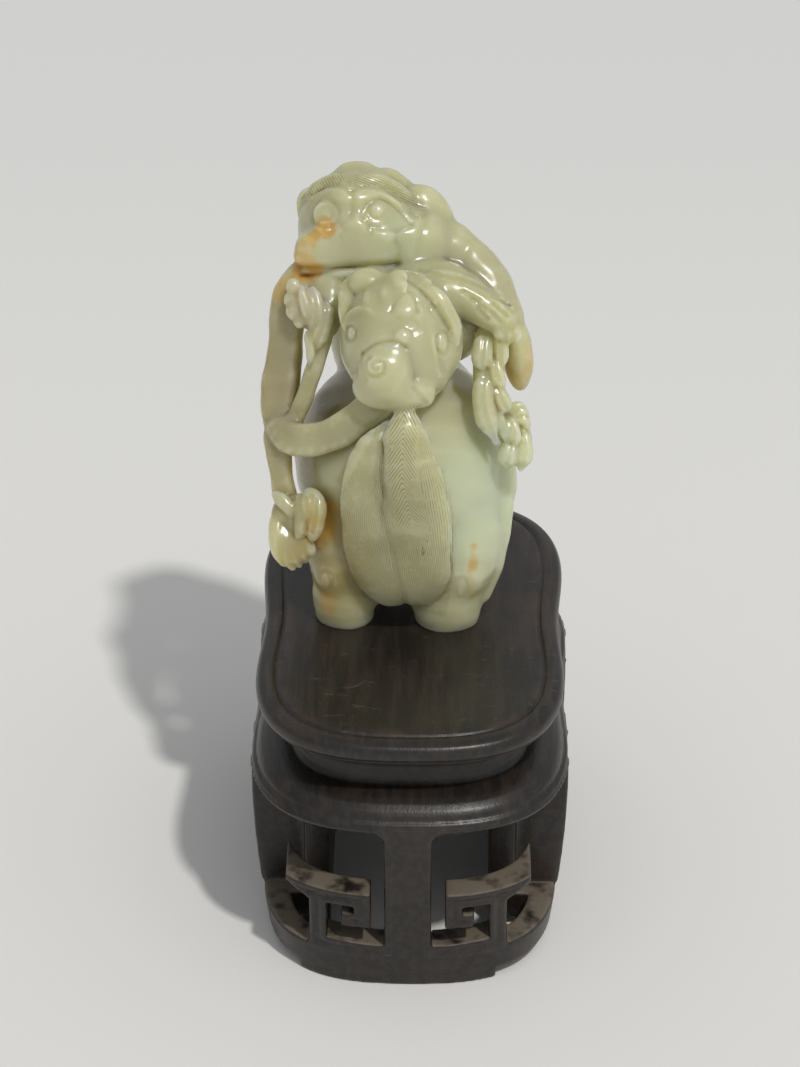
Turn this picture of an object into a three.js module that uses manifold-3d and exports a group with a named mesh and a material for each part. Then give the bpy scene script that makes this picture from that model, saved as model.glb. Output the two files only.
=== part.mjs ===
// Jade carving of a lion-dog with its pup, resting on a pierced hardwood stand.
// Millimetres, +Z up. The origin is the middle of the stand's foot, on the surface it stands on.
// +X is the right of the carving as it is looked at, and the beast's rump faces -Y.

import * as THREE from 'three';
import { mergeVertices } from 'three/addons/utils/BufferGeometryUtils.js';
import Module from 'manifold-3d';

const wasm = await Module();
wasm.setup();

// Driving dimensions of the stand

const STAND_HEIGHT = 56;
const BOARD_LENGTH = 96.4;
const BOARD_WIDTH = 61.2;
const BOARD_WAIST = 0.055;
const WAIST_SPAN = 0.18;
const BOARD_THICKNESS = 5;
const RIM_WIDTH = 3.4;
const RIM_STEP = 0.5;
const NECK_INSET = 7;
const NECK_HEIGHT = 8;
const SHOULDER_OUTSET = 0.9;
const SHOULDER_RISE = 4.2;
const SHOULDER_EDGE = 1.5;
const EDGE_STEP = 0.3;
const WALL_THICKNESS = 5;
const CEILING_THICKNESS = 4;
const HOLLOW_HALF_WIDTH = 15.6;
const HOLLOW_STRAIGHT = 26;
const BODY_SWELL = 0.4;
const FOOT_INSET = 2.7;
const FOOT_RING_HEIGHT = 7.9;
const FOOT_ARCH_HEIGHT = 2.2;
const END_FOOT_HALF_WIDTH = 19;
const END_FOOT_SHIFT = -2;
const WINDOW_TOP_GAP = 0.7;
const WINDOW_CORNER = 2.4;
const STRAP_WIDTH = 9;
const SIDE_STRAP_WIDTH = 6;
const SIDE_STRAP_PLACE = 19;
const CUSP_DEPTH = 2.2;
const FRET_BAR = 3.3;
const FRET_RISE = 11.4;
const FRET_DEPTH = 6;
const FRET_SINK = 0.4;
const FRET_WIDTH = 3.6 * FRET_BAR;
const SIDE_FRET_WIDTH = 0.8 * FRET_WIDTH;

// Driving dimensions of the carving

const CARVING_HEIGHT = 81.6;
const CARVING_X = 0;
const CARVING_Y = 0;

const OUTLINE_POINTS = 38;
const TURNING_RADIUS = 100;
const PAST_WALL = 4;
const END_SQUARENESS = 2.6;
const SIDE_SQUARENESS = 4.2;

// Solids: closed three.js meshes are handed to the joiner and taken back.

function toSolid(geometry) {
  const bare = geometry.clone();
  bare.deleteAttribute('normal');
  bare.deleteAttribute('uv');
  const merged = mergeVertices(bare, 1e-4);
  return new wasm.Manifold(new wasm.Mesh({
    numProp: 3,
    vertProperties: Float32Array.from(merged.attributes.position.array),
    triVerts: Uint32Array.from(merged.index.array),
  }));
}

function toGeometry(solid) {
  const mesh = solid.getMesh();
  const geometry = new THREE.BufferGeometry();
  geometry.setAttribute('position', new THREE.BufferAttribute(Float32Array.from(mesh.vertProperties), 3));
  geometry.setIndex(new THREE.BufferAttribute(Uint32Array.from(mesh.triVerts), 1));
  geometry.computeVertexNormals();
  return geometry;
}

function joined(solids) {
  return wasm.Manifold.union(solids);
}

// The plan outline of the stand: a squared oval with a slight waist half way along.

class PlanOutline extends THREE.Curve {
  getPoint(t, target = new THREE.Vector3()) {
    const angle = t * 2 * Math.PI;
    const c = Math.cos(angle);
    const s = Math.sin(angle);
    const y = (BOARD_LENGTH / 2) * Math.sign(s) * Math.abs(s) ** (2 / SIDE_SQUARENESS);
    const lobeSpan = BOARD_LENGTH * WAIST_SPAN;
    const waist = 1 - BOARD_WAIST * Math.exp(-((y / lobeSpan) ** 2));
    const x = (BOARD_WIDTH / 2) * waist * Math.sign(c) * Math.abs(c) ** (2 / END_SQUARENESS);
    return target.set(x, y, 0);
  }
}

const outline = new PlanOutline();
outline.arcLengthDivisions = 4000;

const rimPoints = [];
const rimNormals = [];
for (let i = 0; i < OUTLINE_POINTS; i++) {
  const t = i / OUTLINE_POINTS;
  const tangent = outline.getTangentAt(t);
  rimPoints.push(outline.getPointAt(t));
  rimNormals.push(new THREE.Vector3(tangent.y, -tangent.x, 0));
}

// A turned profile whose round plan is bent into the stand's outline. Profile points are [inset, z],
// and an inset of null is the middle line.

function turnedToPlan(profile) {
  const points = profile.map(([inset, z]) => (
    new THREE.Vector2(inset === null ? 0 : TURNING_RADIUS - inset, z)
  ));
  const geometry = new THREE.LatheGeometry(points, OUTLINE_POINTS);
  const position = geometry.attributes.position;
  for (let i = 0; i < position.count; i++) {
    const radius = Math.hypot(position.getX(i), position.getZ(i));
    const z = position.getY(i);
    if (radius < 1) {
      position.setXYZ(i, 0, 0, z);
      continue;
    }
    const angle = Math.atan2(position.getX(i), position.getZ(i));
    const step = Math.round((angle / (2 * Math.PI)) * OUTLINE_POINTS + OUTLINE_POINTS) % OUTLINE_POINTS;
    const inset = TURNING_RADIUS - radius;
    const place = rimPoints[step].clone().addScaledVector(rimNormals[step], -inset);
    position.setXYZ(i, place.x, place.y, z);
  }
  return toSolid(geometry);
}

function extruded(shape, depth, place, turn = 0) {
  const geometry = new THREE.ExtrudeGeometry(shape, { depth, bevelEnabled: false, curveSegments: 3 });
  geometry.translate(0, 0, -depth / 2);
  geometry.rotateX(Math.PI / 2);
  geometry.rotateZ(turn);
  geometry.translate(...place);
  return toSolid(geometry);
}

function box(width, depth, height, place) {
  const geometry = new THREE.BoxGeometry(width, depth, height);
  geometry.translate(place[0], place[1], place[2] + height / 2);
  return toSolid(geometry);
}

// Heights of the stand, from the foot up

const boardUnder = STAND_HEIGHT - BOARD_THICKNESS;
const neckFoot = boardUnder - NECK_HEIGHT;
const shoulderEdgeTop = neckFoot - SHOULDER_RISE;
const wallTop = shoulderEdgeTop - SHOULDER_EDGE;
const windowTop = wallTop - WINDOW_TOP_GAP;
const windowFoot = FOOT_RING_HEIGHT;
const ceiling = neckFoot - CEILING_THICKNESS;

function wallInset(z) {
  const share = Math.max(0, Math.min(1, z / wallTop));
  const taper = FOOT_INSET * (1 - share) ** 1.6;
  return -SHOULDER_OUTSET + EDGE_STEP + taper - BODY_SWELL * Math.sin(Math.PI * share);
}

function wallProfile(extra, heights) {
  return heights.map((share) => [wallInset(share * wallTop) + extra, share * wallTop]);
}

function boardAndNeckProfile() {
  return [
    [null, STAND_HEIGHT],
    [RIM_WIDTH + 0.5, STAND_HEIGHT],
    [RIM_WIDTH, STAND_HEIGHT - RIM_STEP],
    [RIM_WIDTH * 0.45, STAND_HEIGHT - 0.5],
    [RIM_WIDTH * 0.04, STAND_HEIGHT - BOARD_THICKNESS * 0.36],
    [RIM_WIDTH * 0.06, STAND_HEIGHT - BOARD_THICKNESS * 0.7],
    [RIM_WIDTH * 0.5, boardUnder],
    [NECK_INSET - 0.4, boardUnder],
  ];
}

function shoulderProfile() {
  return [
    [NECK_INSET, neckFoot],
    [NECK_INSET * 0.45, neckFoot - SHOULDER_RISE * 0.22],
    [NECK_INSET * 0.08, neckFoot - SHOULDER_RISE * 0.6],
    [-SHOULDER_OUTSET, shoulderEdgeTop],
    [-SHOULDER_OUTSET + EDGE_STEP, wallTop],
  ];
}

function standBlock() {
  const outside = wallProfile(0, [0.6, 0.3, 0.13, 0]);
  const profile = [...boardAndNeckProfile(), ...shoulderProfile(), ...outside, [null, 0]];
  return turnedToPlan(profile.reverse());
}

// The hollow is open below. It follows the walls at both ends, and between the end windows it is a straight
// channel, so the windows of the long sides are backed by wood.

function standHollow() {
  const below = -FOOT_RING_HEIGHT;
  const inside = wallProfile(WALL_THICKNESS, [0.3, 0]);
  const profile = [[null, ceiling], [WALL_THICKNESS + 2, ceiling], ...inside, [inside[1][0], below], [null, below]];
  const backings = [-1, 1].map((side) => box(
    BOARD_WIDTH,
    2 * HOLLOW_STRAIGHT,
    2 * STAND_HEIGHT,
    [side * (HOLLOW_HALF_WIDTH + BOARD_WIDTH / 2), 0, 2 * below],
  ));
  return turnedToPlan(profile.reverse()).subtract(joined(backings));
}

function wallRing(depth) {
  const shares = [0.8, 0.3, 0.13];
  const outside = wallProfile(0, shares);
  const inside = wallProfile(depth, shares.slice().reverse());
  const ring = [...outside, ...inside, outside[0]];
  return turnedToPlan(ring.reverse());
}

// A window: rounded upper corners and square feet, cut straight through the wall.

function windowShape(width, height, cusped) {
  const half = width / 2;
  const shape = new THREE.Shape();
  shape.moveTo(-half, 0);
  shape.lineTo(half, 0);
  if (cusped) {
    shape.quadraticCurveTo(half - CUSP_DEPTH, height * 0.2, half - CUSP_DEPTH * 0.3, height * 0.42);
    shape.quadraticCurveTo(half - CUSP_DEPTH * 1.4, height * 0.6, half, height * 0.8);
  }
  shape.lineTo(half, height - WINDOW_CORNER);
  shape.quadraticCurveTo(half, height, half - WINDOW_CORNER, height);
  shape.lineTo(-half + WINDOW_CORNER, height);
  shape.quadraticCurveTo(-half, height, -half, height - WINDOW_CORNER);
  shape.closePath();
  return shape;
}

const endWindowInner = STRAP_WIDTH / 2;
const endWindowReach = BOARD_WIDTH;
const cornerCut = BOARD_LENGTH / 2 - SIDE_STRAP_PLACE - SIDE_STRAP_WIDTH / 2;

// The end windows wrap round the corners: each is cut once from the end and once from the side.

function windowCuts() {
  const height = windowTop - windowFoot;
  const cuts = [];
  for (const end of [-1, 1]) {
    for (const side of [-1, 1]) {
      const endWidth = endWindowReach - endWindowInner;
      cuts.push(extruded(
        windowShape(endWidth, height, false),
        cornerCut,
        [side * (endWindowInner + endWidth / 2), end * (BOARD_LENGTH / 2 - cornerCut / 2 + PAST_WALL), windowFoot],
      ));
      const sideWidth = cornerCut;
      const middle = SIDE_STRAP_PLACE + SIDE_STRAP_WIDTH / 2 + sideWidth / 2;
      cuts.push(extruded(
        windowShape(sideWidth, height, false),
        WALL_THICKNESS * 4,
        [side * (BOARD_WIDTH / 2), end * middle, windowFoot],
        Math.PI / 2,
      ));
    }
  }
  for (const side of [-1, 1]) {
    const width = 2 * SIDE_STRAP_PLACE - SIDE_STRAP_WIDTH;
    cuts.push(extruded(
      windowShape(width, height, true),
      WALL_THICKNESS * 4,
      [side * (BOARD_WIDTH / 2), 0, windowFoot],
      Math.PI / 2,
    ));
  }
  return cuts;
}

// The square scroll in each window: a hooked bar that rises from the foot ring and turns in on itself.

function fretShape(bar, width, rise) {
  const shape = new THREE.Shape();
  shape.moveTo(0, 0);
  shape.lineTo(0, rise);
  shape.lineTo(-bar * 1.4, rise + bar * 0.6);
  shape.lineTo(-bar * 1.4, rise + bar);
  shape.lineTo(width, rise + bar);
  shape.lineTo(width, bar * 2);
  shape.lineTo(width - bar * 1.7, bar * 2);
  shape.lineTo(width - bar * 1.7, bar * 2.9);
  shape.lineTo(width - bar, bar * 2.9);
  shape.lineTo(width - bar, rise);
  shape.lineTo(bar, rise);
  shape.lineTo(bar, bar * 0.9);
  shape.lineTo(width + bar * 0.8, bar * 0.7);
  shape.lineTo(width + bar * 0.8, 0);
  shape.closePath();
  return shape;
}

function mirrored(solid) {
  return solid.mirror([1, 0, 0]);
}

function frets() {
  const ring = wallRing(FRET_DEPTH);
  const fromMiddle = endWindowInner + FRET_WIDTH + FRET_BAR * 0.8;
  const deep = BOARD_LENGTH * 0.3;
  const one = extruded(
    fretShape(FRET_BAR, FRET_WIDTH, FRET_RISE),
    deep,
    [-fromMiddle, -BOARD_LENGTH / 2 + deep / 2 - 3, windowFoot - FRET_SINK],
  );
  const endPair = [one, mirrored(one)];
  const ends = joined([...endPair, ...endPair.map((solid) => solid.rotate([0, 0, 180]))]);
  const sides = [];
  const flank = extruded(
    fretShape(FRET_BAR, SIDE_FRET_WIDTH, FRET_RISE),
    WALL_THICKNESS * 4,
    [0, 0, windowFoot - FRET_SINK],
    Math.PI / 2,
  );
  for (const side of [-1, 1]) {
    for (const way of [-1, 1]) {
      const turned = way > 0 ? flank : flank.mirror([0, 1, 0]);
      sides.push(turned.translate([side * (BOARD_WIDTH / 2 - 2), -way * FRET_WIDTH, 0]));
    }
  }
  return ring.intersect(joined([ends, ...sides]));
}

// Low arches under the foot ring leave a wide foot at each end and one under each side.

function footArches() {
  const cuts = [];
  const along = BOARD_LENGTH / 2 - SIDE_STRAP_PLACE * 0.6;
  for (const end of [-1, 1]) {
    for (const side of [-1, 1]) {
      const from = END_FOOT_HALF_WIDTH + side * END_FOOT_SHIFT;
      const across = BOARD_WIDTH - from;
      const place = [side * (from + across / 2), end * (BOARD_LENGTH / 2 + FOOT_INSET - along / 2), -1];
      cuts.push(box(across, along, FOOT_ARCH_HEIGHT + 1, place));
    }
  }
  return cuts;
}

function buildStand() {
  const block = standBlock().subtract(standHollow());
  const cut = block.subtract(joined([...windowCuts(), ...footArches()]));
  return cut.add(frets());
}

// Forms of the carving. Places are x, y and the height above the soles, drawn for a carving 81.6 high.

const DRAWN_HEIGHT = 81.6;
const carvingScale = CARVING_HEIGHT / DRAWN_HEIGHT;
const LOOK = new THREE.Vector3(0, -0.866, 0.5);
const TILT_UP = -30;

function egg(place, radii, options = {}) {
  const { turn = [0, 0, 0], fine = 6, square = 1 } = options;
  const geometry = new THREE.SphereGeometry(1, fine, Math.max(4, Math.round(fine * 0.6)));
  geometry.rotateX(Math.PI / 2);
  const position = geometry.attributes.position;
  const point = new THREE.Vector3();
  for (let i = 0; i < position.count; i++) {
    point.fromBufferAttribute(position, i);
    for (const axis of ['x', 'y', 'z']) {
      point[axis] = Math.sign(point[axis]) * Math.abs(Math.round(point[axis] * 1e6) / 1e6) ** square;
    }
    position.setXYZ(i, point.x * radii[0], point.y * radii[1], point.z * radii[2]);
  }
  const radians = turn.map((degrees) => (degrees * Math.PI) / 180);
  geometry.applyMatrix4(new THREE.Matrix4().makeRotationFromEuler(new THREE.Euler(...radians, 'ZYX')));
  geometry.translate(...place);
  geometry.scale(carvingScale, carvingScale, carvingScale);
  return toSolid(geometry);
}

function along(values, t) {
  const x = t * (values.length - 1);
  const i = Math.min(values.length - 2, Math.floor(x));
  const f = x - i;
  const s = f * f * (3 - 2 * f);
  return values[i] * (1 - s) + values[i + 1] * s;
}

// A limb follows a smooth curve with a changing radius and closes in a round end. A flatness under 1
// thins it along the facing direction.

function limb(points, radii, options = {}) {
  const { sides = 6, steps = 6, flat = 1, facing = LOOK, pointed = false } = options;
  const curve = new THREE.CatmullRomCurve3(points.map((p) => new THREE.Vector3(...p)), false, 'centripetal');
  const length = curve.getLength();
  const profile = [];
  for (let i = 0; i <= steps; i++) {
    const even = i / steps;
    const t = 0.5 * even + 0.25 * (1 - Math.cos(Math.PI * even));
    const radius = along(radii, t);
    const capLength = Math.min(0.5, radius / length);
    const cap = pointed ? 1 : Math.sqrt(Math.max(0, 1 - Math.max(0, 1 - Math.min(t, 1 - t) / capLength) ** 2));
    profile.push(new THREE.Vector2(i === 0 || i === steps ? 0 : Math.max(0.12, radius * cap), t));
  }
  const geometry = new THREE.LatheGeometry(profile, sides);
  const position = geometry.attributes.position;
  const centre = new THREE.Vector3();
  const tangent = new THREE.Vector3();
  for (let i = 0; i < position.count; i++) {
    const t = position.getY(i);
    curve.getPointAt(t, centre);
    curve.getTangentAt(t, tangent);
    const thin = facing.clone().addScaledVector(tangent, -facing.dot(tangent)).normalize();
    const wide = new THREE.Vector3().crossVectors(tangent, thin);
    const place = centre.clone()
      .addScaledVector(wide, position.getX(i))
      .addScaledVector(thin, position.getZ(i) * flat);
    position.setXYZ(i, place.x, place.y, place.z);
  }
  geometry.scale(carvingScale, carvingScale, carvingScale);
  return toSolid(geometry);
}

function leaf(base, tip, width, thickness, facing = LOOK) {
  const middle = base.map((v, i) => (v + tip[i]) / 2 + facing.toArray()[i] * 0.5);
  return limb([base, middle, tip], [width * 0.35, width, width * 0.1], {
    sides: 4, steps: 4, flat: thickness / width, facing, pointed: true,
  });
}

// The large beast: barrel, rump, legs, chest and neck.

function beastBody() {
  return [
    egg([-1.8, 15.5, 26.5], [21.5, 24, 20.5], { fine: 18 }),
    limb([[-12.9, -0.6, -3], [-13, -0.4, 6], [-12.4, 1.6, 15], [-11, 6, 25]], [5.6, 6.2, 8.4, 9], {
      sides: 10, steps: 6,
    }),
    limb([[6.6, -0.6, -3], [7, -0.4, 6], [8.2, 1.6, 15], [8, 6, 25]], [6.4, 7.2, 9.2, 9.4], {
      sides: 10, steps: 6,
    }),
    egg([-3, 4, 12], [9, 8.8, 9.4], { square: 0.75, fine: 8 }),
    egg([-16.2, -4.6, 11.2], [2.6, 2.6, 2.8]),
    egg([10, -5, 11.3], [3.2, 2.6, 3.6]),
    limb([[18.4, 7, 30], [17.6, 4, 19], [16.2, 2, 11], [14, 0, 4]], [1.2, 1.9, 1.9, 1.4]),
    egg([-1, 31.5, 27], [14.5, 12, 16.5], { fine: 10 }),
    limb([[-4, 32, 34], [-6.5, 31.5, 46], [-9, 31.5, 57], [-11, 31, 66]], [10.5, 10.5, 10.8, 10.5], {
      sides: 10, steps: 5,
    }),
  ];
}

function forepaw(x, y) {
  const pieces = [
    limb([[x, y - 1, -3], [x, y - 2, 6], [x * 0.9, y - 4, 16]], [5.4, 5.6, 7], { sides: 8, steps: 5 }),
    egg([x, y + 1.5, 3], [5.4, 6.5, 4.6], { square: 0.8, fine: 8 }),
  ];
  for (const toe of [-1, 0, 1]) {
    pieces.push(egg([x + toe * 3.5, y + 6.5 - Math.abs(toe), 2], [1.9, 2.6, 2.5]));
  }
  return pieces;
}

// The large beast's head looks back over the rump, tilted up.

function beastHead() {
  const turn = [TILT_UP, 0, 0];
  return [
    egg([-10.8, 31, 69.4], [12, 12, 11.9], { fine: 14 }),
    egg([-13.2, 23.4, 68.2], [9.4, 5.6, 5], { turn, square: 0.8, fine: 10 }),
    egg([-14, 23.8, 64.8], [8.3, 5, 3.4], { turn, square: 0.85, fine: 8 }),
    egg([-11, 19.8, 74.2], [3.6, 2.2, 2.2], { turn }),
    egg([-17.4, 20.6, 73.2], [2.2, 2, 2]),
    egg([-6.2, 20.7, 72.6], [2.1, 2, 1.9]),
    egg([-16.9, 22.8, 75.6], [2.8, 2, 2.4], { turn }),
    egg([-6.9, 22.4, 76.2], [2.5, 2, 2.2], { turn }),
    limb([[-21, 25.5, 76.8], [-16.5, 23.3, 79.4], [-11.6, 22.6, 78.6]], [1, 1.6, 1.5], { sides: 5, steps: 4 }),
    limb([[-11.6, 22.6, 78.6], [-6.5, 23.4, 79.6], [-1, 26.5, 76.4]], [1.5, 1.7, 1], { sides: 5, steps: 4 }),
    egg([-11.2, 30, 79.6], [5.6, 6.5, 2], { fine: 8 }),
    limb([[-8, 28.6, 80.4], [-3, 29.2, 78.2], [0.6, 30.2, 74]], [1.6, 2.2, 1.4], { sides: 5, steps: 4, flat: 0.8 }),
    egg([1.7, 32, 71.6], [4.8, 4, 6.6], { turn: [0, -38, 0], fine: 8 }),
  ];
}

// Locks of the mane fall down the nape, row under row, on the far side.

function mane() {
  const locks = [];
  const rows = 3;
  for (let row = 0; row < rows; row++) {
    const count = 4 - (row % 2);
    for (let i = 0; i < count; i++) {
      const across = (i - (count - 1) / 2) * 6.4;
      const top = 76 - row * 10;
      const x = -11 + row * 1.8 + across;
      const y = 41.4 - Math.abs(across) * 0.35 - (row === 0 ? 2 : 0);
      locks.push(limb(
        [[x, y - 3, top], [x + 1.2, y + 0.4, top - 5], [x - 0.4, y - 0.6, top - 11]],
        [2.4, 3.8, 0.8],
        { sides: 5, steps: 4, flat: 0.5, facing: new THREE.Vector3(0, 1, 0.1) },
      ));
    }
  }
  return locks;
}

// The leaf-shaped tail lies up the rump in two combed lobes.

function tail() {
  const facing = new THREE.Vector3(0, -1, 0.1);
  return [
    limb(
      [[-1.3, -5.2, 50], [-1, -7.9, 43], [0.5, -9, 32], [1.6, -9, 21], [2.3, -8, 13], [2.6, -6.6, 7.4]],
      [1.6, 4.7, 6.2, 6.5, 5.6, 3],
      { sides: 8, steps: 8, flat: 0.42, facing },
    ),
    limb(
      [[-3.4, -4.6, 45.6], [-7.2, -7, 38], [-8, -7.6, 27], [-6, -7.4, 15], [-3, -6.4, 7.8]],
      [1.6, 5, 5.6, 5.2, 2.2],
      { sides: 8, steps: 8, flat: 0.5, facing },
    ),
  ];
}

// The pup's head lies on the beast's back and looks up at the viewer.

function pupHead() {
  const turn = [TILT_UP, 0, 0];
  return [
    egg([-2.2, 6.6, 57.8], [11.9, 10.4, 13.2], { turn, fine: 13 }),
    egg([-3.8, -1.6, 55.4], [7, 5.4, 5.6], { turn, square: 0.9, fine: 10 }),
    egg([-1.6, -2.2, 51.2], [6.6, 4.2, 4.6], { turn, fine: 8 }),
    egg([-6.6, -5.4, 57], [2.4, 2, 2.3]),
    egg([-0.9, -5.5, 57], [2, 1.8, 1.9]),
    egg([-1.5, -2.8, 61.8], [2.2, 2, 2.2]),
    egg([-10.9, 0.4, 60.4], [2, 2, 2.6], { turn }),
    egg([5.8, 0, 59.2], [1.6, 2, 2.6], { turn }),
    leaf([-0.6, -1.4, 64.4], [0.2, 6.2, 71], 3, 1.6),
    egg([-9.8, 9, 68.2], [3.4, 4, 3], { turn: [TILT_UP, 0, -20] }),
    egg([-3.6, 11.4, 69.6], [3.4, 2.8, 2.2]),
    egg([3.6, 10.6, 68.6], [3, 3, 2.2]),
    egg([8.8, 7.4, 59], [2, 4.6, 7.6], { turn: [TILT_UP, 0, 8], fine: 7 }),
    egg([-13, 9, 61], [1.8, 4, 6], { turn: [TILT_UP, 0, -8], fine: 7 }),
  ];
}

// The pup's back, haunch and hind paw curl round on the right.

function pupBody() {
  return [
    egg([3, 18, 57.5], [13, 10.8, 10.4], { fine: 10 }),
    limb([[-2, 30, 64], [5.6, 29.6, 65.8], [10, 28, 63.8], [14.2, 25, 60], [17.4, 21, 54.6], [18, 19, 50]],
      [6.5, 5.6, 5.1, 4.9, 4.4, 3], { sides: 9, steps: 8 }),
    egg([20.6, 18.8, 47.6], [2.9, 4.8, 7.2], { turn: [0, -4, 0], fine: 8 }),
    limb([[1.5, 12, 65.6], [8, 11.2, 65.4], [14, 10, 62.6], [18.4, 8.4, 60.2]], [4.4, 4.2, 3.7, 3], {
      sides: 8, steps: 5,
    }),
    limb([[-7, 2, 46.4], [-12.6, 0.2, 42.4], [-17.8, 0.8, 38.6], [-22.4, 2.8, 37.3], [-26, 6.4, 38.6]],
      [3.4, 3.3, 3.1, 2.9, 2.7], { sides: 7, steps: 7 }),
    ...[0, 1, 2].map((claw) => limb(
      [[15.6 + claw * 1.6, 8.4 + claw * 0.4, 61 - claw * 0.5], [16.6 + claw * 1.6, 6.6 + claw * 0.4, 59.2 - claw * 0.5],
        [17.2 + claw * 1.3, 6.6 + claw * 0.4, 57 - claw * 0.4]],
      [1.3, 1.2, 0.4],
      { sides: 4, steps: 3 },
    )),
  ];
}

// The spray on the left: an outer stem, an inner branch, long leaves, a bloom and hanging petals.

function leftSpray() {
  return [
    limb([[-19, 24, 63.4], [-23.6, 20.5, 61.5], [-25, 18, 55], [-25.4, 16, 48.3], [-26.1, 12, 42.6],
      [-26.1, 6, 36.4], [-25.5, 3.2, 30.7], [-24, 1, 22.7], [-22.6, 0, 15]],
    [2.8, 2.9, 2.9, 3, 3, 2.8, 1.9, 2.1, 2.6], { sides: 6, steps: 12 }),
    limb([[-16.6, 13.5, 57], [-19.4, 10.6, 50.4], [-21.4, 8, 44.5], [-24.4, 6, 38.6]], [1.5, 1.5, 1.5, 1.6], {
      sides: 5, steps: 4,
    }),
    limb([[-16.5, 24, 64], [-16.6, 18.5, 60.4], [-15.6, 14, 55]], [6, 4, 1.6], { sides: 6, steps: 5 }),
    leaf([-17.4, 12.8, 55.2], [-22.8, 13.4, 67.2], 1.7, 1.2),
    leaf([-16.8, 12.4, 56.4], [-19.4, 14.2, 68], 1.7, 1.2),
    egg([-23.2, 14.8, 65.4], [1.9, 1.7, 1.9]),
    egg([-23.8, 14.4, 62], [2, 1.7, 2]),
    limb([[-24.2, 16, 63], [-20.4, 15.4, 61], [-17.2, 14.4, 57]], [1.4, 1.6, 1.4], { sides: 5, steps: 4 }),
    ...[0, 1, 2].map((petal) => limb(
      [[-24.8 + petal * 1.7, -0.4, 25 - petal * 0.9], [-26 + petal * 2.7, -2.4, 18.6],
        [-24.8 + petal * 1.8, -3.2, 12.2 + petal * 0.9]],
      [1.2, 2.1, 1],
      { sides: 5, steps: 4 },
    )),
    egg([-21.4, 0.2, 19.6], [4, 3.2, 6.4]),
    leaf([-21.6, -2.8, 19], [-17.6, -2.4, 29.6], 2.4, 1.8),
    leaf([-24.4, -1.6, 21], [-26.6, -0.4, 28.4], 1.6, 1.2),
  ];
}

// The spray on the right: a trunk with paired leaves, a curled bloom and a bud against the flank.

function rightSpray() {
  return [
    limb([[13.4, 9, 57], [13.7, 8, 50], [13.9, 7.2, 43], [15.4, 7.4, 37]], [1.9, 2, 2, 1.6], { sides: 5, steps: 5 }),
    limb([[15.8, 9.6, 57.6], [17, 9.8, 50], [18.2, 10.6, 43.6], [19.4, 12, 36]], [1.6, 1.9, 2.1, 2.2], {
      sides: 5, steps: 5,
    }),
    egg([13.7, 6.6, 55.2], [2, 1.5, 2.6]),
    leaf([15.4, 7.8, 45.4], [16.8, 7.8, 53], 1.5, 1.2),
    leaf([17.2, 9, 40.4], [19.4, 9, 47.8], 1.5, 1.2),
    egg([21.2, 11.4, 38.2], [1.7, 2, 1.8]),
    egg([21.4, 11.2, 35], [1.7, 2, 1.8]),
    egg([18.6, 10.4, 36.8], [1.9, 1.8, 2.6]),
    egg([19.2, 12.6, 30.6], [2.8, 3, 4.2], { square: 0.8 }),
    limb([[18.2, 12.4, 29], [18.4, 9.4, 24], [17.6, 6, 19]], [2, 2, 1.2], { sides: 5, steps: 4 }),
  ];
}

function buildCarving() {
  const forms = [
    ...beastBody(),
    ...forepaw(-12, 35.5),
    ...forepaw(9, 34.5),
    ...beastHead(),
    ...mane(),
    ...tail(),
    ...pupHead(),
    ...pupBody(),
    ...leftSpray(),
    ...rightSpray(),
  ];
  const across = 2 * BOARD_LENGTH;
  const belowSoles = box(across, across, across, [0, 0, -across]);
  return joined(forms).subtract(belowSoles);
}

// The two pieces, each in its own finish

const group = new THREE.Group();

const standMesh = new THREE.Mesh(
  toGeometry(buildStand()),
  new THREE.MeshStandardMaterial({ color: 0x2b1a14, roughness: 0.45, metalness: 0 }),
);
standMesh.name = 'wood_stand';
group.add(standMesh);

const carvingMesh = new THREE.Mesh(
  toGeometry(buildCarving()),
  new THREE.MeshStandardMaterial({ color: 0xb9bfa6, roughness: 0.2, metalness: 0 }),
);
carvingMesh.name = 'jade_carving';
carvingMesh.position.set(CARVING_X, CARVING_Y, STAND_HEIGHT);
group.add(carvingMesh);

export default group;
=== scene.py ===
# %% [markdown]
# # A jade dog carving on its hardwood stand
# The object is a small polished jade group: a large lion-dog stands with its rump to the viewer and looks
# back over it, its pup lies on its back, and leafy sprays hang down both flanks. It rests on a waisted
# stand of dark hardwood whose walls are pierced. Sizes here are in millimetres above the soles or above
# the shelf, and are turned into Blender's metres only when a mesh is made.

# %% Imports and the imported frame
import math

import bmesh
import bpy
import numpy as np
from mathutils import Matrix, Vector


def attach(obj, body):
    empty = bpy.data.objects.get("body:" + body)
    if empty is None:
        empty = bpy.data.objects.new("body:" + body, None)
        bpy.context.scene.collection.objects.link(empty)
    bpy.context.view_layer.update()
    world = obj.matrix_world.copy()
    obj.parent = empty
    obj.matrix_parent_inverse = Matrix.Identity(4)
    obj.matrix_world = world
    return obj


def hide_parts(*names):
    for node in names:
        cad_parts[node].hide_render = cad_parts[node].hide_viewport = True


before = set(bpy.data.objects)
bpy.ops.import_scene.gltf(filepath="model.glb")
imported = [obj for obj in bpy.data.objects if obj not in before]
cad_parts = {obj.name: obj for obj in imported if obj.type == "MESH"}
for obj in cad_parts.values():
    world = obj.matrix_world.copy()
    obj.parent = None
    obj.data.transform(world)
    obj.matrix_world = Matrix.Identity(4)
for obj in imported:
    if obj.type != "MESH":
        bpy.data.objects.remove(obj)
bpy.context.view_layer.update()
MM = 0.001
STAND_HEIGHT = 56.0
MOST_TRIANGLES = 190000
print("frame holds", sorted(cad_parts))

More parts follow.
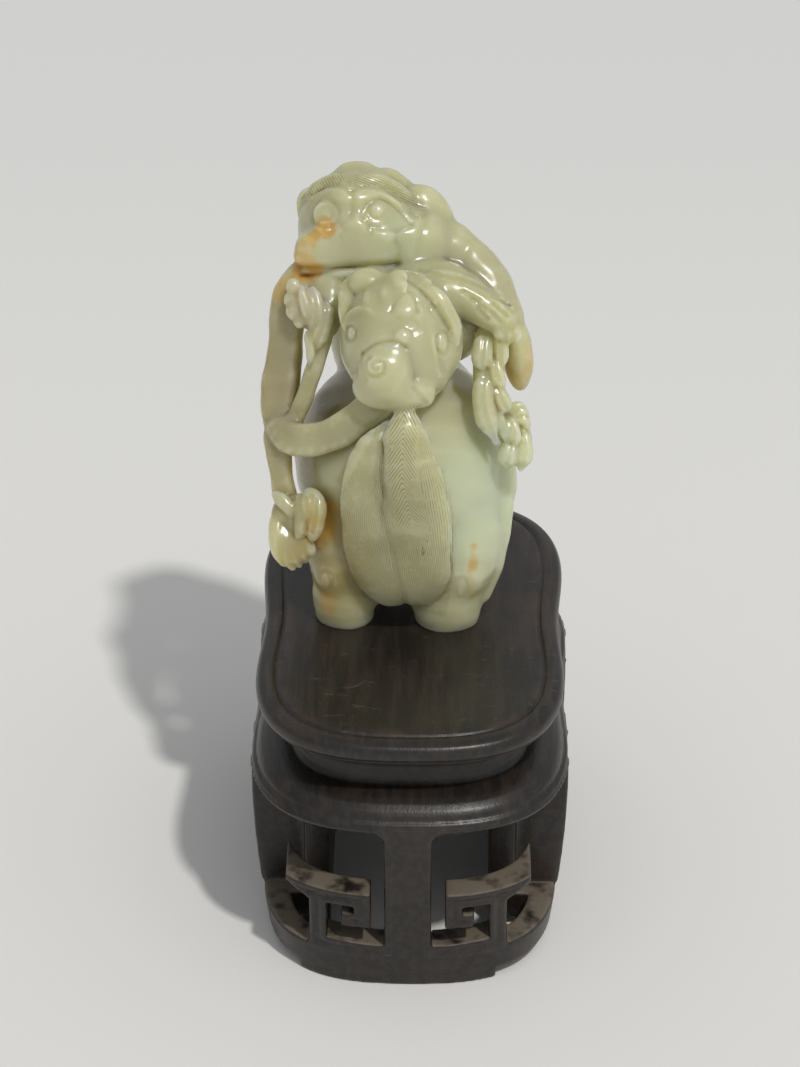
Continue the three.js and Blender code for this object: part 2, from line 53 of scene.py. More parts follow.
# %% [markdown]
# ## Carving by distance
# Jade is ground, not cast: one block, with forms that melt into each other and grooves that are cut into
# them. Boolean joins of many meshes would leave hard seams, and sculpting by hand can't be written down.
# So the block is a grid of numbers, each the distance to the nearest surface: negative inside, positive
# outside. A form lowers the numbers near it, a groove raises them a little, and one surface is drawn
# through the zeros at the end.

# %% The block of distances
FAR_OUTSIDE = 4.0


class Block:
    """A grid of distances, in millimetres, that forms are added to and grooves are cut in."""

    def __init__(self, low, high, cell):
        self.low = np.array(low, float)
        self.cell = cell
        counts = np.ceil((np.array(high, float) - self.low) / cell).astype(int) + 1
        self.axes = [self.low[i] + cell * np.arange(counts[i]) for i in range(3)]
        self.field = np.full(tuple(counts), FAR_OUTSIDE, np.float32)

    def window(self, low, high):
        """The slices of the grid between two corners, and the x, y and z there."""
        slices = []
        for i in range(3):
            first = int(np.searchsorted(self.axes[i], low[i]))
            last = int(np.searchsorted(self.axes[i], high[i])) + 1
            slices.append(slice(max(0, first - 1), min(len(self.axes[i]), last)))
        x, y, z = (self.axes[i][slices[i]].astype(np.float32) for i in range(3))
        return tuple(slices), (x[:, None, None], y[None, :, None], z[None, None, :])

    def join(self, form, melt):
        """Adds a form; melt is how far its joint is rounded."""
        distance, low, high = form
        place, points = self.window(low - 1.5 * melt - 1, high + 1.5 * melt + 1)
        new = distance(*points)
        old = self.field[place]
        near = np.maximum(melt - np.abs(old - new), 0) / melt
        self.field[place] = np.minimum(old, new) - near * near * melt / 4

    def shift(self, low, high, amount):
        """Moves the surface in a window by amount(x, y, z): above 0 cuts in, below 0 raises."""
        place, points = self.window(np.array(low), np.array(high))
        self.field[place] += amount(*points)

    def cut_below(self, height):
        np.maximum(self.field, (height - self.axes[2])[None, None, :].astype(np.float32), out=self.field)


def soft_step(value, start, end):
    share = np.clip((value - start) / (end - start), 0, 1)
    return share * share * (3 - 2 * share)

# %% [markdown]
# ## A surface through the zeros
# Marching cubes would put thin triangles all over a polished stone. Surface nets put one vertex in each
# cell that the surface crosses, at the mean of the crossings, and join them with squares: smooth and even.

# %% Surface nets
def skin(block):
    """Vertices in millimetres and square faces of the surface where the distances change sign."""
    field = block.field
    counts = np.array(field.shape)
    strides = np.array([counts[1] * counts[2], counts[2], 1])
    cells, places, quads = [], [], []
    for axis in range(3):
        first = [slice(None)] * 3
        second = [slice(None)] * 3
        first[axis] = slice(0, -1)
        second[axis] = slice(1, None)
        a = field[tuple(first)]
        b = field[tuple(second)]
        edges = np.argwhere((a < 0) != (b < 0))
        edges = edges[np.all((edges > 0) & (edges < counts - 2), axis=1)]
        va = a[tuple(edges.T)]
        vb = b[tuple(edges.T)]
        crossing = edges.astype(float)
        crossing[:, axis] += va / (va - vb)
        left = np.zeros(3, int)
        up = np.zeros(3, int)
        left[(axis + 1) % 3] = 1
        up[(axis + 2) % 3] = 1
        around = [edges, edges - left, edges - left - up, edges - up]
        keys = np.stack([corner @ strides for corner in around], axis=1)
        outward = (va < 0)[:, None]
        quads.append(np.where(outward, keys, keys[:, ::-1]))
        cells.append(keys.ravel())
        places.append(np.repeat(crossing, 4, axis=0))
    cells = np.concatenate(cells)
    places = np.concatenate(places)
    names, index = np.unique(cells, return_inverse=True)
    share = np.bincount(index)
    points = np.stack([np.bincount(index, places[:, i]) / share for i in range(3)], axis=1)
    faces = np.searchsorted(names, np.concatenate(quads))
    return block.low + points * block.cell, faces


def largest_shell(points, faces):
    """Leaves out any crumb that isn't joined to the main body."""
    label = np.arange(len(points))
    while True:
        lowest = label[faces].min(axis=1)
        new = label.copy()
        for corner in range(4):
            np.minimum.at(new, faces[:, corner], lowest)
        new = new[new]
        if np.array_equal(new, label):
            break
        label = new
    main = np.bincount(label).argmax()
    kept = label == main
    renumber = np.cumsum(kept) - 1
    return points[kept], renumber[faces[kept[faces[:, 0]]]]


def mesh_piece(name, points, faces):
    """A smooth Blender piece from points in millimetres and faces of one length."""
    mesh = bpy.data.meshes.new(name)
    corners = faces.shape[1]
    mesh.vertices.add(len(points))
    mesh.vertices.foreach_set("co", (points * MM).astype(np.float32).ravel())
    mesh.loops.add(faces.size)
    mesh.loops.foreach_set("vertex_index", faces.astype(np.int32).ravel())
    mesh.polygons.add(len(faces))
    mesh.polygons.foreach_set("loop_start", np.arange(0, faces.size, corners, dtype=np.int32))
    mesh.update(calc_edges=True)
    mesh.validate()
    mesh.shade_smooth()
    piece = bpy.data.objects.new(name, mesh)
    bpy.context.scene.collection.objects.link(piece)
    return piece


def thinned(piece, triangles):
    """Takes out the triangles that matter least until the piece has no more than the number given."""
    present = sum(len(face.vertices) - 2 for face in piece.data.polygons)
    if present <= triangles:
        return present
    step = piece.modifiers.new("thin", "DECIMATE")
    step.ratio = triangles / present
    graph = bpy.context.evaluated_depsgraph_get()
    mesh = bpy.data.meshes.new_from_object(piece.evaluated_get(graph))
    piece.modifiers.clear()
    piece.data = mesh
    mesh.shade_smooth()
    return len(mesh.polygons)

# %% [markdown]
# ## The two kinds of form
# Nearly everything on the carving is a rounded lump or a rounded strand. A lump is a stretched ball, which
# can be squared a little at its corners. A strand follows a smooth curve with a changing thickness, and can
# be flattened like a ribbon or drawn out to a point like a leaf.

# %% Lumps and strands
LOOK = np.array([0, -0.866, 0.5])
UP = np.array([0, 0.5, 0.866])
FACE_TURN = [-30, 0, 0]
LINE_STEPS = 96


def turning(degrees):
    """The matrix of turns about x, then y, then z."""
    a, b, c = np.radians(degrees)
    about_x = np.array([[1, 0, 0], [0, math.cos(a), -math.sin(a)], [0, math.sin(a), math.cos(a)]])
    about_y = np.array([[math.cos(b), 0, math.sin(b)], [0, 1, 0], [-math.sin(b), 0, math.cos(b)]])
    about_z = np.array([[math.cos(c), -math.sin(c), 0], [math.sin(c), math.cos(c), 0], [0, 0, 1]])
    return about_z @ about_y @ about_x


def egg(place, radii, turn=(0, 0, 0), square=1.0):
    place = np.array(place, float)
    radii = np.array(radii, float)
    back = turning(turn).T
    power = 2 / square

    def distance(x, y, z):
        across = [back[i, 0] * (x - place[0]) + back[i, 1] * (y - place[1]) + back[i, 2] * (z - place[2])
                  for i in range(3)]
        if square == 1:
            reach = np.sqrt(sum((across[i] / radii[i]) ** 2 for i in range(3)))
        else:
            reach = sum(np.abs(across[i] / radii[i]) ** power for i in range(3)) ** (1 / power)
        steep = np.sqrt(sum((across[i] / radii[i] ** 2) ** 2 for i in range(3))) + 1e-4
        return (reach - 1) * np.maximum(reach, 0.2) / steep

    widest = np.abs(turning(turn)) @ radii if square == 1 else np.full(3, radii.max())
    return distance, place - widest, place + widest


def smooth_path(points, count):
    """Points evenly spaced along a centripetal curve through the given ones."""
    points = np.array(points, float)
    padded = np.vstack([2 * points[0] - points[1], points, 2 * points[-1] - points[-2]])
    dense = []
    for i in range(len(points) - 1):
        p = padded[i:i + 4]
        t = np.concatenate([[0], np.cumsum(np.linalg.norm(np.diff(p, axis=0), axis=1) ** 0.5)])
        s = np.linspace(t[1], t[2], 24, endpoint=False)[:, None]
        a = [((t[k + 1] - s) * p[k] + (s - t[k]) * p[k + 1]) / (t[k + 1] - t[k]) for k in range(3)]
        b = [((t[k + 2] - s) * a[k] + (s - t[k]) * a[k + 1]) / (t[k + 2] - t[k]) for k in range(2)]
        dense.append(((t[2] - s) * b[0] + (s - t[1]) * b[1]) / (t[2] - t[1]))
    dense = np.vstack(dense + [points[-1:]])
    run = np.concatenate([[0], np.cumsum(np.linalg.norm(np.diff(dense, axis=0), axis=1))])
    even = np.linspace(0, run[-1], count)
    return np.stack([np.interp(even, run, dense[:, i]) for i in range(3)], axis=1), run[-1]


def eased(values, share):
    """Goes from value to value along a strand without a corner."""
    place = np.clip(share, 0, 1) * (len(values) - 1)
    i = np.minimum(len(values) - 2, place.astype(int))
    f = place - i
    s = f * f * (3 - 2 * f)
    values = np.array(values, float)
    return values[i] * (1 - s) + values[i + 1] * s


def strand(points, radii, flat=1.0, facing=LOOK, pointed=False, pieces=18, power=2.0):
    line, length = smooth_path(points, LINE_STEPS + 1)
    even = np.linspace(0, 1, pieces + 1)
    share = 0.5 * even + 0.25 * (1 - np.cos(np.pi * even))
    line = line[np.round(share * LINE_STEPS).astype(int)]
    radius = eased(radii, share)
    if not pointed:
        cap = np.minimum(0.5, radius / length)
        from_end = np.minimum(share, 1 - share) / cap
        radius = radius * np.sqrt(np.clip(1 - np.maximum(0, 1 - from_end) ** 2, 0, 1))
    radius = np.maximum(radius, 0.1)

    def distance(x, y, z):
        best = None
        for a, b, ra, rb in zip(line[:-1], line[1:], radius[:-1], radius[1:]):
            step = b - a
            size = step @ step
            t = ((x - a[0]) * step[0] + (y - a[1]) * step[1] + (z - a[2]) * step[2]) / size
            t = np.clip(t, 0, 1)
            away = [x - a[0] - t * step[0], y - a[1] - t * step[1], z - a[2] - t * step[2]]
            thick = ra + t * (rb - ra)
            if flat == 1:
                new = np.sqrt(away[0] ** 2 + away[1] ** 2 + away[2] ** 2) - thick
            else:
                thin = facing - (facing @ step) * step / size
                thin = thin / np.linalg.norm(thin)
                part = away[0] * thin[0] + away[1] * thin[1] + away[2] * thin[2]
                total = away[0] ** 2 + away[1] ** 2 + away[2] ** 2 - part ** 2
                total = np.maximum(total, 1e-6)
                reach = (total ** (power / 2) + np.abs(part / flat) ** power) ** (1 / power)
                steep = np.sqrt(total + (part / flat ** 2) ** 2) + 1e-4
                new = (reach - thick) * np.maximum(reach, 0.1) / steep
            best = new if best is None else np.minimum(best, new)
        return best

    most = max(radii)
    return distance, line.min(axis=0) - most, line.max(axis=0) + most


def leaf(base, tip, width, thickness, facing=LOOK):
    base = np.array(base, float)
    tip = np.array(tip, float)
    middle = (base + tip) / 2 + facing * 0.5
    return strand([base, middle, tip], [width * 0.35, width, width * 0.1], flat=thickness / width,
                  facing=facing, pointed=True, pieces=10)

# %% [markdown]
# ## Grooves and ridges
# The carver cuts eyes, hair and veins with small wheels, looking straight at the work. Here too a stroke is
# drawn in the plane that the viewer looks at, and it sinks or raises whatever surface lies under it within
# a few millimetres. That needs no exact depth, so the strokes can be laid like pencil lines.

# %% Strokes
def on_plane(x, y, z):
    """Across, up and toward the viewer."""
    return x, UP[1] * y + UP[2] * z, LOOK[1] * y + LOOK[2] * z


def seen(across, up, near):
    """The place of a point given as the viewer sees it."""
    return np.array([across, 0, 0]) + up * UP + near * LOOK


def seen_all(*points):
    return [seen(*point) for point in points]


def seen_egg(across, up, near, radii, square=1.0):
    """A lump that lies in the picture plane."""
    return egg(seen(across, up, near), radii, turn=FACE_TURN, square=square)


def laid(points, ball, lift=0.0):
    """Points given across and up, laid on the visible side of a ball (place, radii) and lifted off it."""
    place, radii = ball
    middle = on_plane(*place)
    out = []
    for across, up in points:
        rest = 1 - ((across - middle[0]) / radii[0]) ** 2 - ((up - middle[1]) / radii[2]) ** 2
        out.append(seen(across, up, middle[2] + radii[1] * math.sqrt(max(0, rest)) + lift))
    return out


def at_level(points, near, arch=0.8):
    """Points given across and up at one nearness, arched toward the viewer in their middle."""
    last = len(points) - 1
    return [seen(*point, near + arch * math.sin(math.pi * i / last)) for i, point in enumerate(points)]


def line_distance(across, up, line):
    """How far each point of the picture plane is from a line of points."""
    best = None
    for a, b in zip(line[:-1], line[1:]):
        step = b - a
        size = max(step @ step, 1e-9)
        t = np.clip(((across - a[0]) * step[0] + (up - a[1]) * step[1]) / size, 0, 1)
        new = (across - a[0] - t * step[0]) ** 2 + (up - a[1] - t * step[1]) ** 2
        best = new if best is None else np.minimum(best, new)
    return np.sqrt(best)


def stroke(block, points, width, depth, reach=4.0, pieces=10):
    """A groove along points, or a ridge when depth is below 0."""
    line = smooth_path(points, pieces + 1)[0] if len(points) > 2 else np.array(points, float)
    flat_line = np.stack(on_plane(*line.T)[:2], axis=1)
    toward = on_plane(*line.T)[2]
    low = line.min(axis=0) - reach - 2 * width
    high = line.max(axis=0) + reach + 2 * width

    def amount(x, y, z):
        across, up, near = on_plane(x, y, z)
        away = line_distance(across, up, flat_line)
        fade = 1 - soft_step(np.maximum(near - toward.max(), toward.min() - near), reach * 0.6, reach)
        return depth * np.exp(-(away / width) ** 2) * fade

    block.shift(low, high, amount)


def ring(block, centre, radius, width, depth, wide=1.0, reach=4.0):
    """A round or almond groove about a centre."""
    angle = np.linspace(0, 2 * np.pi, 25)
    centre = np.array(centre, float)
    points = [centre + np.array([wide * radius * math.cos(a), 0, 0]) + UP * radius * math.sin(a)
              for a in angle]
    stroke(block, points, width, depth, reach, pieces=28)


def hand_polish(block, depth=0.055, seed=11, waves=8, shortest=5, longest=12):
    """The slight waves that hand polishing leaves, with their lengths in millimetres."""
    chance = np.random.default_rng(seed)
    for _ in range(waves):
        way = chance.normal(size=3)
        way *= 2 * math.pi / (chance.uniform(shortest, longest) * np.linalg.norm(way))
        start = chance.uniform(0, 2 * math.pi)
        x, y, z = (axis.astype(np.float32) * w for axis, w in zip(block.axes, way))
        block.field += depth * np.sin(x[:, None, None] + y[None, :, None] + z[None, None, :] + start)


def curl(block, centre, radius, turns, width, depth, start=0.0, way=1, reach=4.0):
    """A spiral groove that winds in to a centre."""
    angle = np.linspace(0, 2 * np.pi * turns, int(12 * turns) + 1)
    size = radius * (1 - 0.85 * angle / angle[-1])
    centre = np.array(centre, float)
    points = [centre + np.array([r * math.cos(start + way * a), 0, 0]) + UP * r * math.sin(start + way * a)
              for a, r in zip(angle, size)]
    stroke(block, points, width, depth, reach, pieces=int(14 * turns))


print("carving tools ready")

# %% [markdown]
# ## The large beast
# The barrel, the rump with its two hind legs, the chest and the neck are plain swelling forms with a high
# polish, so each is one lump or strand and the joints between them are rounded by a millimetre or two.

# %% Body, legs and neck
CELL = 0.38
jade = Block([-30.5, -13.5, -2], [25.5, 46.5, 83.5], CELL)


def join_all(block, melt, forms):
    for form in forms:
        block.join(form, melt)


join_all(jade, 2.2, [
    egg([-1.8, 15.5, 26.5], [21.5, 24, 20.5]),
    egg([-1, 31.5, 27], [14.5, 12, 16.5]),
    strand([[-12.9, -0.6, -3], [-13, -0.4, 6], [-12.4, 1.6, 15], [-11, 6, 25]], [5.6, 6.2, 8.4, 9]),
    strand([[6.6, -0.6, -3], [7, -0.4, 6], [8.2, 1.6, 15], [8, 6, 25]], [6.4, 7.2, 9.2, 9.4]),
    egg([-3, 4, 12], [9, 8.8, 9.4], square=0.75),
    egg([-15.6, -3.8, 11.2], [2.8, 2.6, 3.2]),
    egg([10, -5, 11.3], [3.2, 2.6, 3.6]),
    strand([[18.4, 7, 30], [17.6, 4, 19], [16.2, 2, 11], [14, 0, 4]], [1.2, 1.9, 1.9, 1.4]),
    strand([[-4, 32, 34], [-6.5, 31.5, 46], [-9, 31.5, 57], [-11, 31, 66]], [10.5, 10.5, 10.8, 10.5]),
])


def forepaw(block, x, y):
    join_all(block, 1.2, [
        strand([[x, y - 1, -3], [x, y - 2, 6], [x * 0.9, y - 4, 16]], [5.4, 5.6, 7]),
        egg([x, y + 1.5, 3], [5.4, 6.5, 4.6], square=0.8),
    ])
    join_all(block, 0.4, [egg([x + toe * 3.5, y + 6.5 - abs(toe), 2], [1.9, 2.6, 2.5]) for toe in (-1, 0, 1)])


forepaw(jade, -12, 35.5)
forepaw(jade, 9, 34.5)
print("body drawn on a grid of", jade.field.shape)

# %% [markdown]
# ## The large beast's head
# The head is turned right back and tipped up. Its broad muzzle, brow rolls and cheeks are lumps laid on a
# ball. Eyes, nostrils and hair come after, as strokes.

# %% Head of the large beast
skull = ([-10.8, 31, 69.4], [12, 12, 11.9])
join_all(jade, 2.0, [
    egg(*skull),
    egg([-11.2, 30, 78.7], [5.8, 6.5, 2.2]),
    seen_egg(-1.6, 72.0, 9.2, [8.8, 8.2, 8.0], square=0.9),
])
join_all(jade, 0.8, [
    egg([1.9, 32, 71.8], [5.0, 4, 6.8], turn=[0, -38, 0]),
    strand(laid([(-15.8, 84.6), (-13.1, 86.3), (-9.8, 86.5), (-7.5, 85.4)], skull, -1.6),
           [1.0, 1.7, 1.6, 0.8]),
    strand(laid([(-7.9, 85.2), (-4.8, 85.2), (-2.1, 83.4), (0.1, 80.9)], skull, -1.4),
           [0.8, 1.7, 1.7, 1.0]),
])
jade.join(seen_egg(-13.4, 70.6, 15.0, [9.4, 4.6, 3.9], square=0.55), 1.8)
join_all(jade, 1.0, [
    seen_egg(-11.8, 73.2, 17.0, [6.8, 2.5, 3.0]),
    seen_egg(-16.8, 74.4, 17.8, [2.2, 1.5, 2.2]),
    seen_egg(-10.8, 75.4, 18.7, [2.2, 1.5, 1.9]),
    seen_egg(-6.1, 73.2, 18.0, [2.0, 1.5, 1.7]),
    seen_egg(-17.1, 77.5, 17.0, [2.6, 1.3, 2.6]),
    seen_egg(-7.2, 78.0, 18.2, [2.0, 1.4, 2.0]),
])
jade.join(seen_egg(-13.0, 66.4, 14.4, [8.8, 3.8, 1.7], square=0.8), 0.4)
join_all(jade, 0.7, [
    strand(laid([(-20.9, 79.2), (-19.1, 80.9), (-16.2, 81.9), (-13.4, 81.6), (-12.1, 80.0)], skull, -0.4),
           [0.5, 0.8, 0.9, 0.8, 0.5]),
    strand(laid([(-12.0, 80.2), (-10.0, 81.7), (-6.6, 81.6), (-3.5, 79.8), (0.0, 76.7)], skull, -0.4),
           [0.5, 0.9, 0.9, 0.8, 0.5]),
    strand(laid([(-21.4, 79.8), (-18.5, 82.9), (-15.4, 84.6), (-14.0, 84.0)], skull, -0.4),
           [0.7, 1.4, 1.3, 0.7]),
    strand(laid([(-12.8, 83.4), (-8.5, 84.2), (-4.3, 83.0), (-1.0, 80.7), (1.3, 77.9)], skull, -0.5),
           [0.7, 1.3, 1.5, 1.5, 0.9]),
])

# %% Mane down the nape
BACKWARD = np.array([0, 1, 0.1])
for row in range(3):
    count = 4 - row % 2
    for i in range(count):
        across = (i - (count - 1) / 2) * 6.4
        top = 76 - row * 10
        x = -11 + row * 1.8 + across
        y = 41.4 - abs(across) * 0.35 - (2 if row == 0 else 0)
        lock = [[x, y - 3, top], [x + 1.2, y + 0.4, top - 5], [x - 0.4, y - 0.6, top - 11]]
        jade.join(strand(lock, [2.4, 3.8, 0.8], flat=0.5, facing=BACKWARD), 0.4)
print("head and mane joined")

# %% [markdown]
# ## The tail
# The tail is a leaf-shaped fan that lies up the rump in two lobes with a soft edge. It is a ribbon for each
# lobe over a low swelling, with the fold between them cut in. Its hairs are finer than the mesh and come
# with the finish: a herringbone down the spine, fine upright hairs on both lobes.

# %% Tail
TAIL_OUT = np.array([0, -1, 0.1])
join_all(jade, 0.35, [
    strand([[-3.8, -4.2, 45.2], [-7.0, -6.6, 38.5], [-8.0, -7.4, 28], [-6.4, -7.3, 16], [-3.4, -6.2, 8.0]],
           [2.0, 5.0, 5.6, 5.4, 2.6], flat=0.46, facing=TAIL_OUT),
    strand([[-1.3, -5.2, 50], [-1.0, -7.9, 43], [0.5, -9, 32], [1.6, -9, 21], [2.3, -8, 13],
            [2.6, -6.6, 7.4]],
           [1.6, 4.7, 6.2, 6.5, 5.6, 3.0], flat=0.42, facing=TAIL_OUT),
])
jade.join(egg([-2.6, -5.9, 18.5], [9.4, 4.7, 12.4]), 2.6)
FOLD = [(-5.6, 43.5), (-6.6, 37), (-7.2, 33.0), (-5.6, 28), (-4.3, 23), (-2.6, 15), (-1.2, 8)]
stroke(jade, [[x, -9.6, z] for x, z in FOLD], 0.6, 0.22, reach=5, pieces=24)
stroke(jade, [[-4.4, -9, 42], [-5.6, -9.6, 36], [-4.2, -9.8, 30], [-3.2, -9.8, 27]], 1.0, 0.3, reach=5)

# %% [markdown]
# ## The pup
# The pup lies along the large beast's back with its chin on the tail and looks straight up at the viewer.
# Its haunch curls round on the right, one foreleg goes out to each side.

# %% Head of the pup
pup = ([-2.2, 6.6, 57.8], [11.9, 10.4, 13.2])
join_all(jade, 0.9, [
    egg(*pup, turn=FACE_TURN),
    seen_egg(-3.4, 43.6, 28.2, [7.8, 4.6, 4.4]),
    seen_egg(2.0, 42.2, 27.8, [2.2, 2.0, 2.0]),
])
jade.join(seen_egg(-4.6, 46.8, 29.8, [5.4, 4.8, 5.6], square=0.85), 1.1)
join_all(jade, 0.5, [
    seen_egg(-6.6, 47.4, 33.2, [2.3, 1.5, 2.3]),
    seen_egg(-1.8, 53.2, 32.4, [2.0, 1.6, 1.8]),
    seen_egg(-11.6, 54.0, 28.6, [0.9, 0.9, 1.4]),
    seen_egg(5.7, 52.3, 30.0, [0.8, 0.9, 1.6]),
    strand(laid([(-13.1, 54.6), (-12.1, 57.4), (-10.2, 58.6), (-8.0, 58.2), (-6.1, 56.3)], pup, -0.5),
           [0.6, 0.8, 0.8, 0.7, 0.4]),
    strand(laid([(-9.3, 64.9), (-10.8, 63.0), (-12.3, 59.6), (-13.3, 55.4)], pup, 0.1),
           [2.4, 2.8, 1.8, 0.8], flat=0.6),
    egg(seen(-8.4, 63.8, 25.4), [4.0, 2.6, 2.8], turn=[-40, 0, 0]),
    strand(laid([(2.9, 62.3), (5.4, 59.4), (7.3, 55.8), (8.2, 52.0)], pup, 0.1),
           [1.5, 2.2, 2.0, 0.9], flat=0.6),
    strand(laid([(2.5, 59.3), (3.8, 55.5), (4.2, 51.7), (4.6, 48.5)], pup, -0.4), [0.5, 0.8, 0.8, 0.4]),
])
join_all(jade, 0.3, [
    leaf(laid([(-1.7, 55.3)], pup, -0.5)[0], laid([(-1.1, 62.9)], pup, -0.2)[0], 2.5, 0.9),
    leaf(laid([(-6.6, 56.1)], pup, -0.5)[0], laid([(-8.1, 63.7)], pup, 0.1)[0], 2.1, 0.9),
    leaf(laid([(-4.3, 57.2)], pup, -0.5)[0], laid([(-4.9, 64.8)], pup, 0.1)[0], 1.9, 0.9),
    leaf(laid([(-1.7, 61.9)], pup, 0.2)[0], seen(-4.4, 66.0, 25.6), 2.4, 1.0),
    leaf(laid([(4.0, 59.2)], pup, 0.2)[0], seen(-0.4, 66.2, 25.2), 2.2, 1.0),
    leaf(laid([(7.1, 55.4)], pup, 0.2)[0], seen(1.8, 65.2, 25.6), 2.0, 0.9),
])

# %% Back, haunch and legs of the pup
join_all(jade, 1.2, [
    egg([3, 18, 57.5], [13, 10.8, 10.4]),
    strand([[-2, 30, 64], [5.6, 29.6, 65.8], [10, 28, 63.8], [14.2, 25, 60], [17.4, 21, 54.6], [18, 19, 50]],
           [6.5, 5.6, 5.1, 4.9, 4.4, 3]),
    egg([20.6, 18.8, 47.6], [2.9, 4.8, 7.2], turn=[0, -4, 0]),
    strand([[1.5, 12, 65.2], [8, 11.2, 65.2], [14, 10, 62.6], [18.4, 8.4, 60.2]], [4.4, 4.2, 3.8, 3.2]),
])
FORELEG = [[-4, 3.4, 48.4], [-9.4, 0.6, 44.6], [-14.4, 0, 40.6], [-19, 1, 38.4], [-23.4, 3.6, 37.6],
           [-26.4, 7.4, 39.2]]
jade.join(strand(FORELEG, [3.5, 3.4, 3.3, 3.2, 3.1, 2.9], flat=0.72, power=3.2), 0.7)
for claw in range(3):
    jade.join(strand([[15.6 + claw * 1.6, 8.4 + claw * 0.4, 61 - claw * 0.5],
                      [16.6 + claw * 1.6, 6.6 + claw * 0.4, 59.2 - claw * 0.5],
                      [17.2 + claw * 1.3, 6.6 + claw * 0.4, 57 - claw * 0.4]], [1.3, 1.2, 0.4]), 0.3)
print("pup joined")

# %% [markdown]
# ## The two sprays
# A stem leaves the mouth on the left, bends down the flank and ends in a hanging flower. On the right a
# short trunk carries paired leaves, a curled flower and a bud. Stems are strands and leaves are flattened
# strands drawn out to a point.

# %% Spray on the left
def spray_leaf(block, points, width, thickness=1.2, rib=0.28):
    """A leaf along points, with its midrib cut in."""
    block.join(strand(points, [width * 0.4, width * 1.15, width, width * 0.2], flat=thickness / width,
                      pointed=True, pieces=12), 0.3)
    if rib:
        stroke(block, points, 0.32, rib, reach=3)


BAND_OUT = np.array([-0.25, -0.84, 0.48])
join_all(jade, 0.7, [
    strand([[-18.4, 24, 64.2], [-23.2, 20.5, 61.8], [-24.6, 18, 55], [-25.0, 16, 48.3], [-26.0, 12, 42.6],
            [-26.4, 7.6, 37.4]],
           [2.9, 3.2, 3.3, 3.4, 3.5, 3.2], flat=0.74, facing=BAND_OUT, power=3.2, pieces=22),
    strand([[-26.4, 7.6, 38], [-25.6, 3.6, 31], [-24.2, 1.2, 23], [-22.6, 0, 15]],
           [3.0, 2.4, 2.3, 2.5], flat=0.8, facing=BAND_OUT, power=2.6),
    strand([[-16.2, 13.5, 58], [-18.6, 10.6, 51], [-20.8, 8, 44.5], [-23.8, 6, 38.4]],
           [1.7, 1.7, 1.7, 2.0], flat=0.8, power=2.6),
    strand([[-16.5, 24, 64], [-16.6, 18.5, 60.4], [-15.6, 14, 55]], [6, 4, 1.6]),
    strand(seen_all((-21.5, 65.0, 14.4), (-21.0, 60.4, 15.6), (-18.6, 55.4, 16.6)),
           [2.4, 3.4, 1.6], flat=0.8),
])
for place, size in (((-23.1, 63.2, 18.6), 1.5), ((-23.6, 60.9, 18.4), 1.5), ((-22.9, 58.6, 18.6), 1.7),
                    ((-21.9, 56.7, 18.4), 1.3), ((-21.5, 60.7, 18.6), 1.9), ((-20.6, 57.8, 18.6), 1.7)):
    jade.join(seen_egg(*place, [size, 1.1, size * 1.15]), 0.3)
for points, width in (
    ([(-19.3, 55.7), (-20.3, 58.0), (-21.2, 61.1), (-21.6, 64.9)], 1.0),
    ([(-19.1, 53.4), (-18.5, 57.3), (-19.1, 61.1), (-20.3, 64.5)], 1.7),
    ([(-19.3, 50.7), (-17.8, 54.6), (-16.8, 57.8), (-17.4, 61.5)], 1.6),
    ([(-19.9, 47.7), (-19.7, 50.7), (-20.1, 53.0), (-20.8, 55.3)], 0.9),
):
    spray_leaf(jade, at_level(points, 18.8), width)
print("left band, bloom and long leaves joined")

# %% Hanging flower on the left
jade.join(seen_egg(-22.6, 15.0, 12.6, [3.4, 2.2, 5.6]), 0.4)
for points in (
    [(-25.9, 20.1), (-26.3, 16.2), (-25.7, 12.2), (-24.3, 9.7)],
    [(-24.9, 19.1), (-24.9, 14.7), (-23.9, 11.2), (-22.8, 8.9)],
    [(-23.6, 18.0), (-23.4, 13.9), (-22.4, 11.0), (-21.4, 9.3)],
    [(-22.2, 17.0), (-21.8, 13.7), (-21.0, 11.6), (-20.3, 10.2)],
    [(-21.0, 16.2), (-20.5, 13.9), (-19.7, 12.4), (-19.3, 11.8)],
):
    petal = at_level(points, 13.6, 1.2)
    jade.join(strand(petal, [0.9, 1.45, 1.4, 0.8], flat=0.6), 0.2)
join_all(jade, 0.3, [
    strand(at_level([(-26.8, 23.6), (-25.1, 22.2), (-23.4, 20.3), (-23.0, 18.4)], 15.0),
           [0.7, 1.3, 1.2, 0.6], flat=0.7),
    egg([-20.4, 0.6, 21.4], [3.4, 2.8, 5.4]),
    seen_egg(-21.4, 19.0, 13.6, [3.6, 2.4, 4.6]),
    seen_egg(-24.4, 19.7, 13, [2.6, 2.2, 3.6]),
    strand(at_level([(-20.0, 24.0), (-18.9, 21.5), (-18.5, 18.2), (-19.1, 14.7)], 16.2),
           [1.6, 2.5, 2.0, 0.9], flat=0.6),
    strand(at_level([(-21.6, 23.0), (-20.8, 20.5), (-21.0, 17.4), (-22.0, 15.1)], 15.6),
           [1.1, 1.7, 1.6, 0.8], flat=0.6),
])
for points in ([(-20.4, 22.6), (-20.0, 19.7), (-20.4, 16.6)], [(-19.3, 23.0), (-19.3, 20.1), (-19.9, 16.6)],
               [(-18.5, 22.4), (-18.5, 19.3), (-19.1, 16.2)]):
    stroke(jade, at_level(points, 17), 0.3, 0.32, reach=4)
print("hanging flower joined")

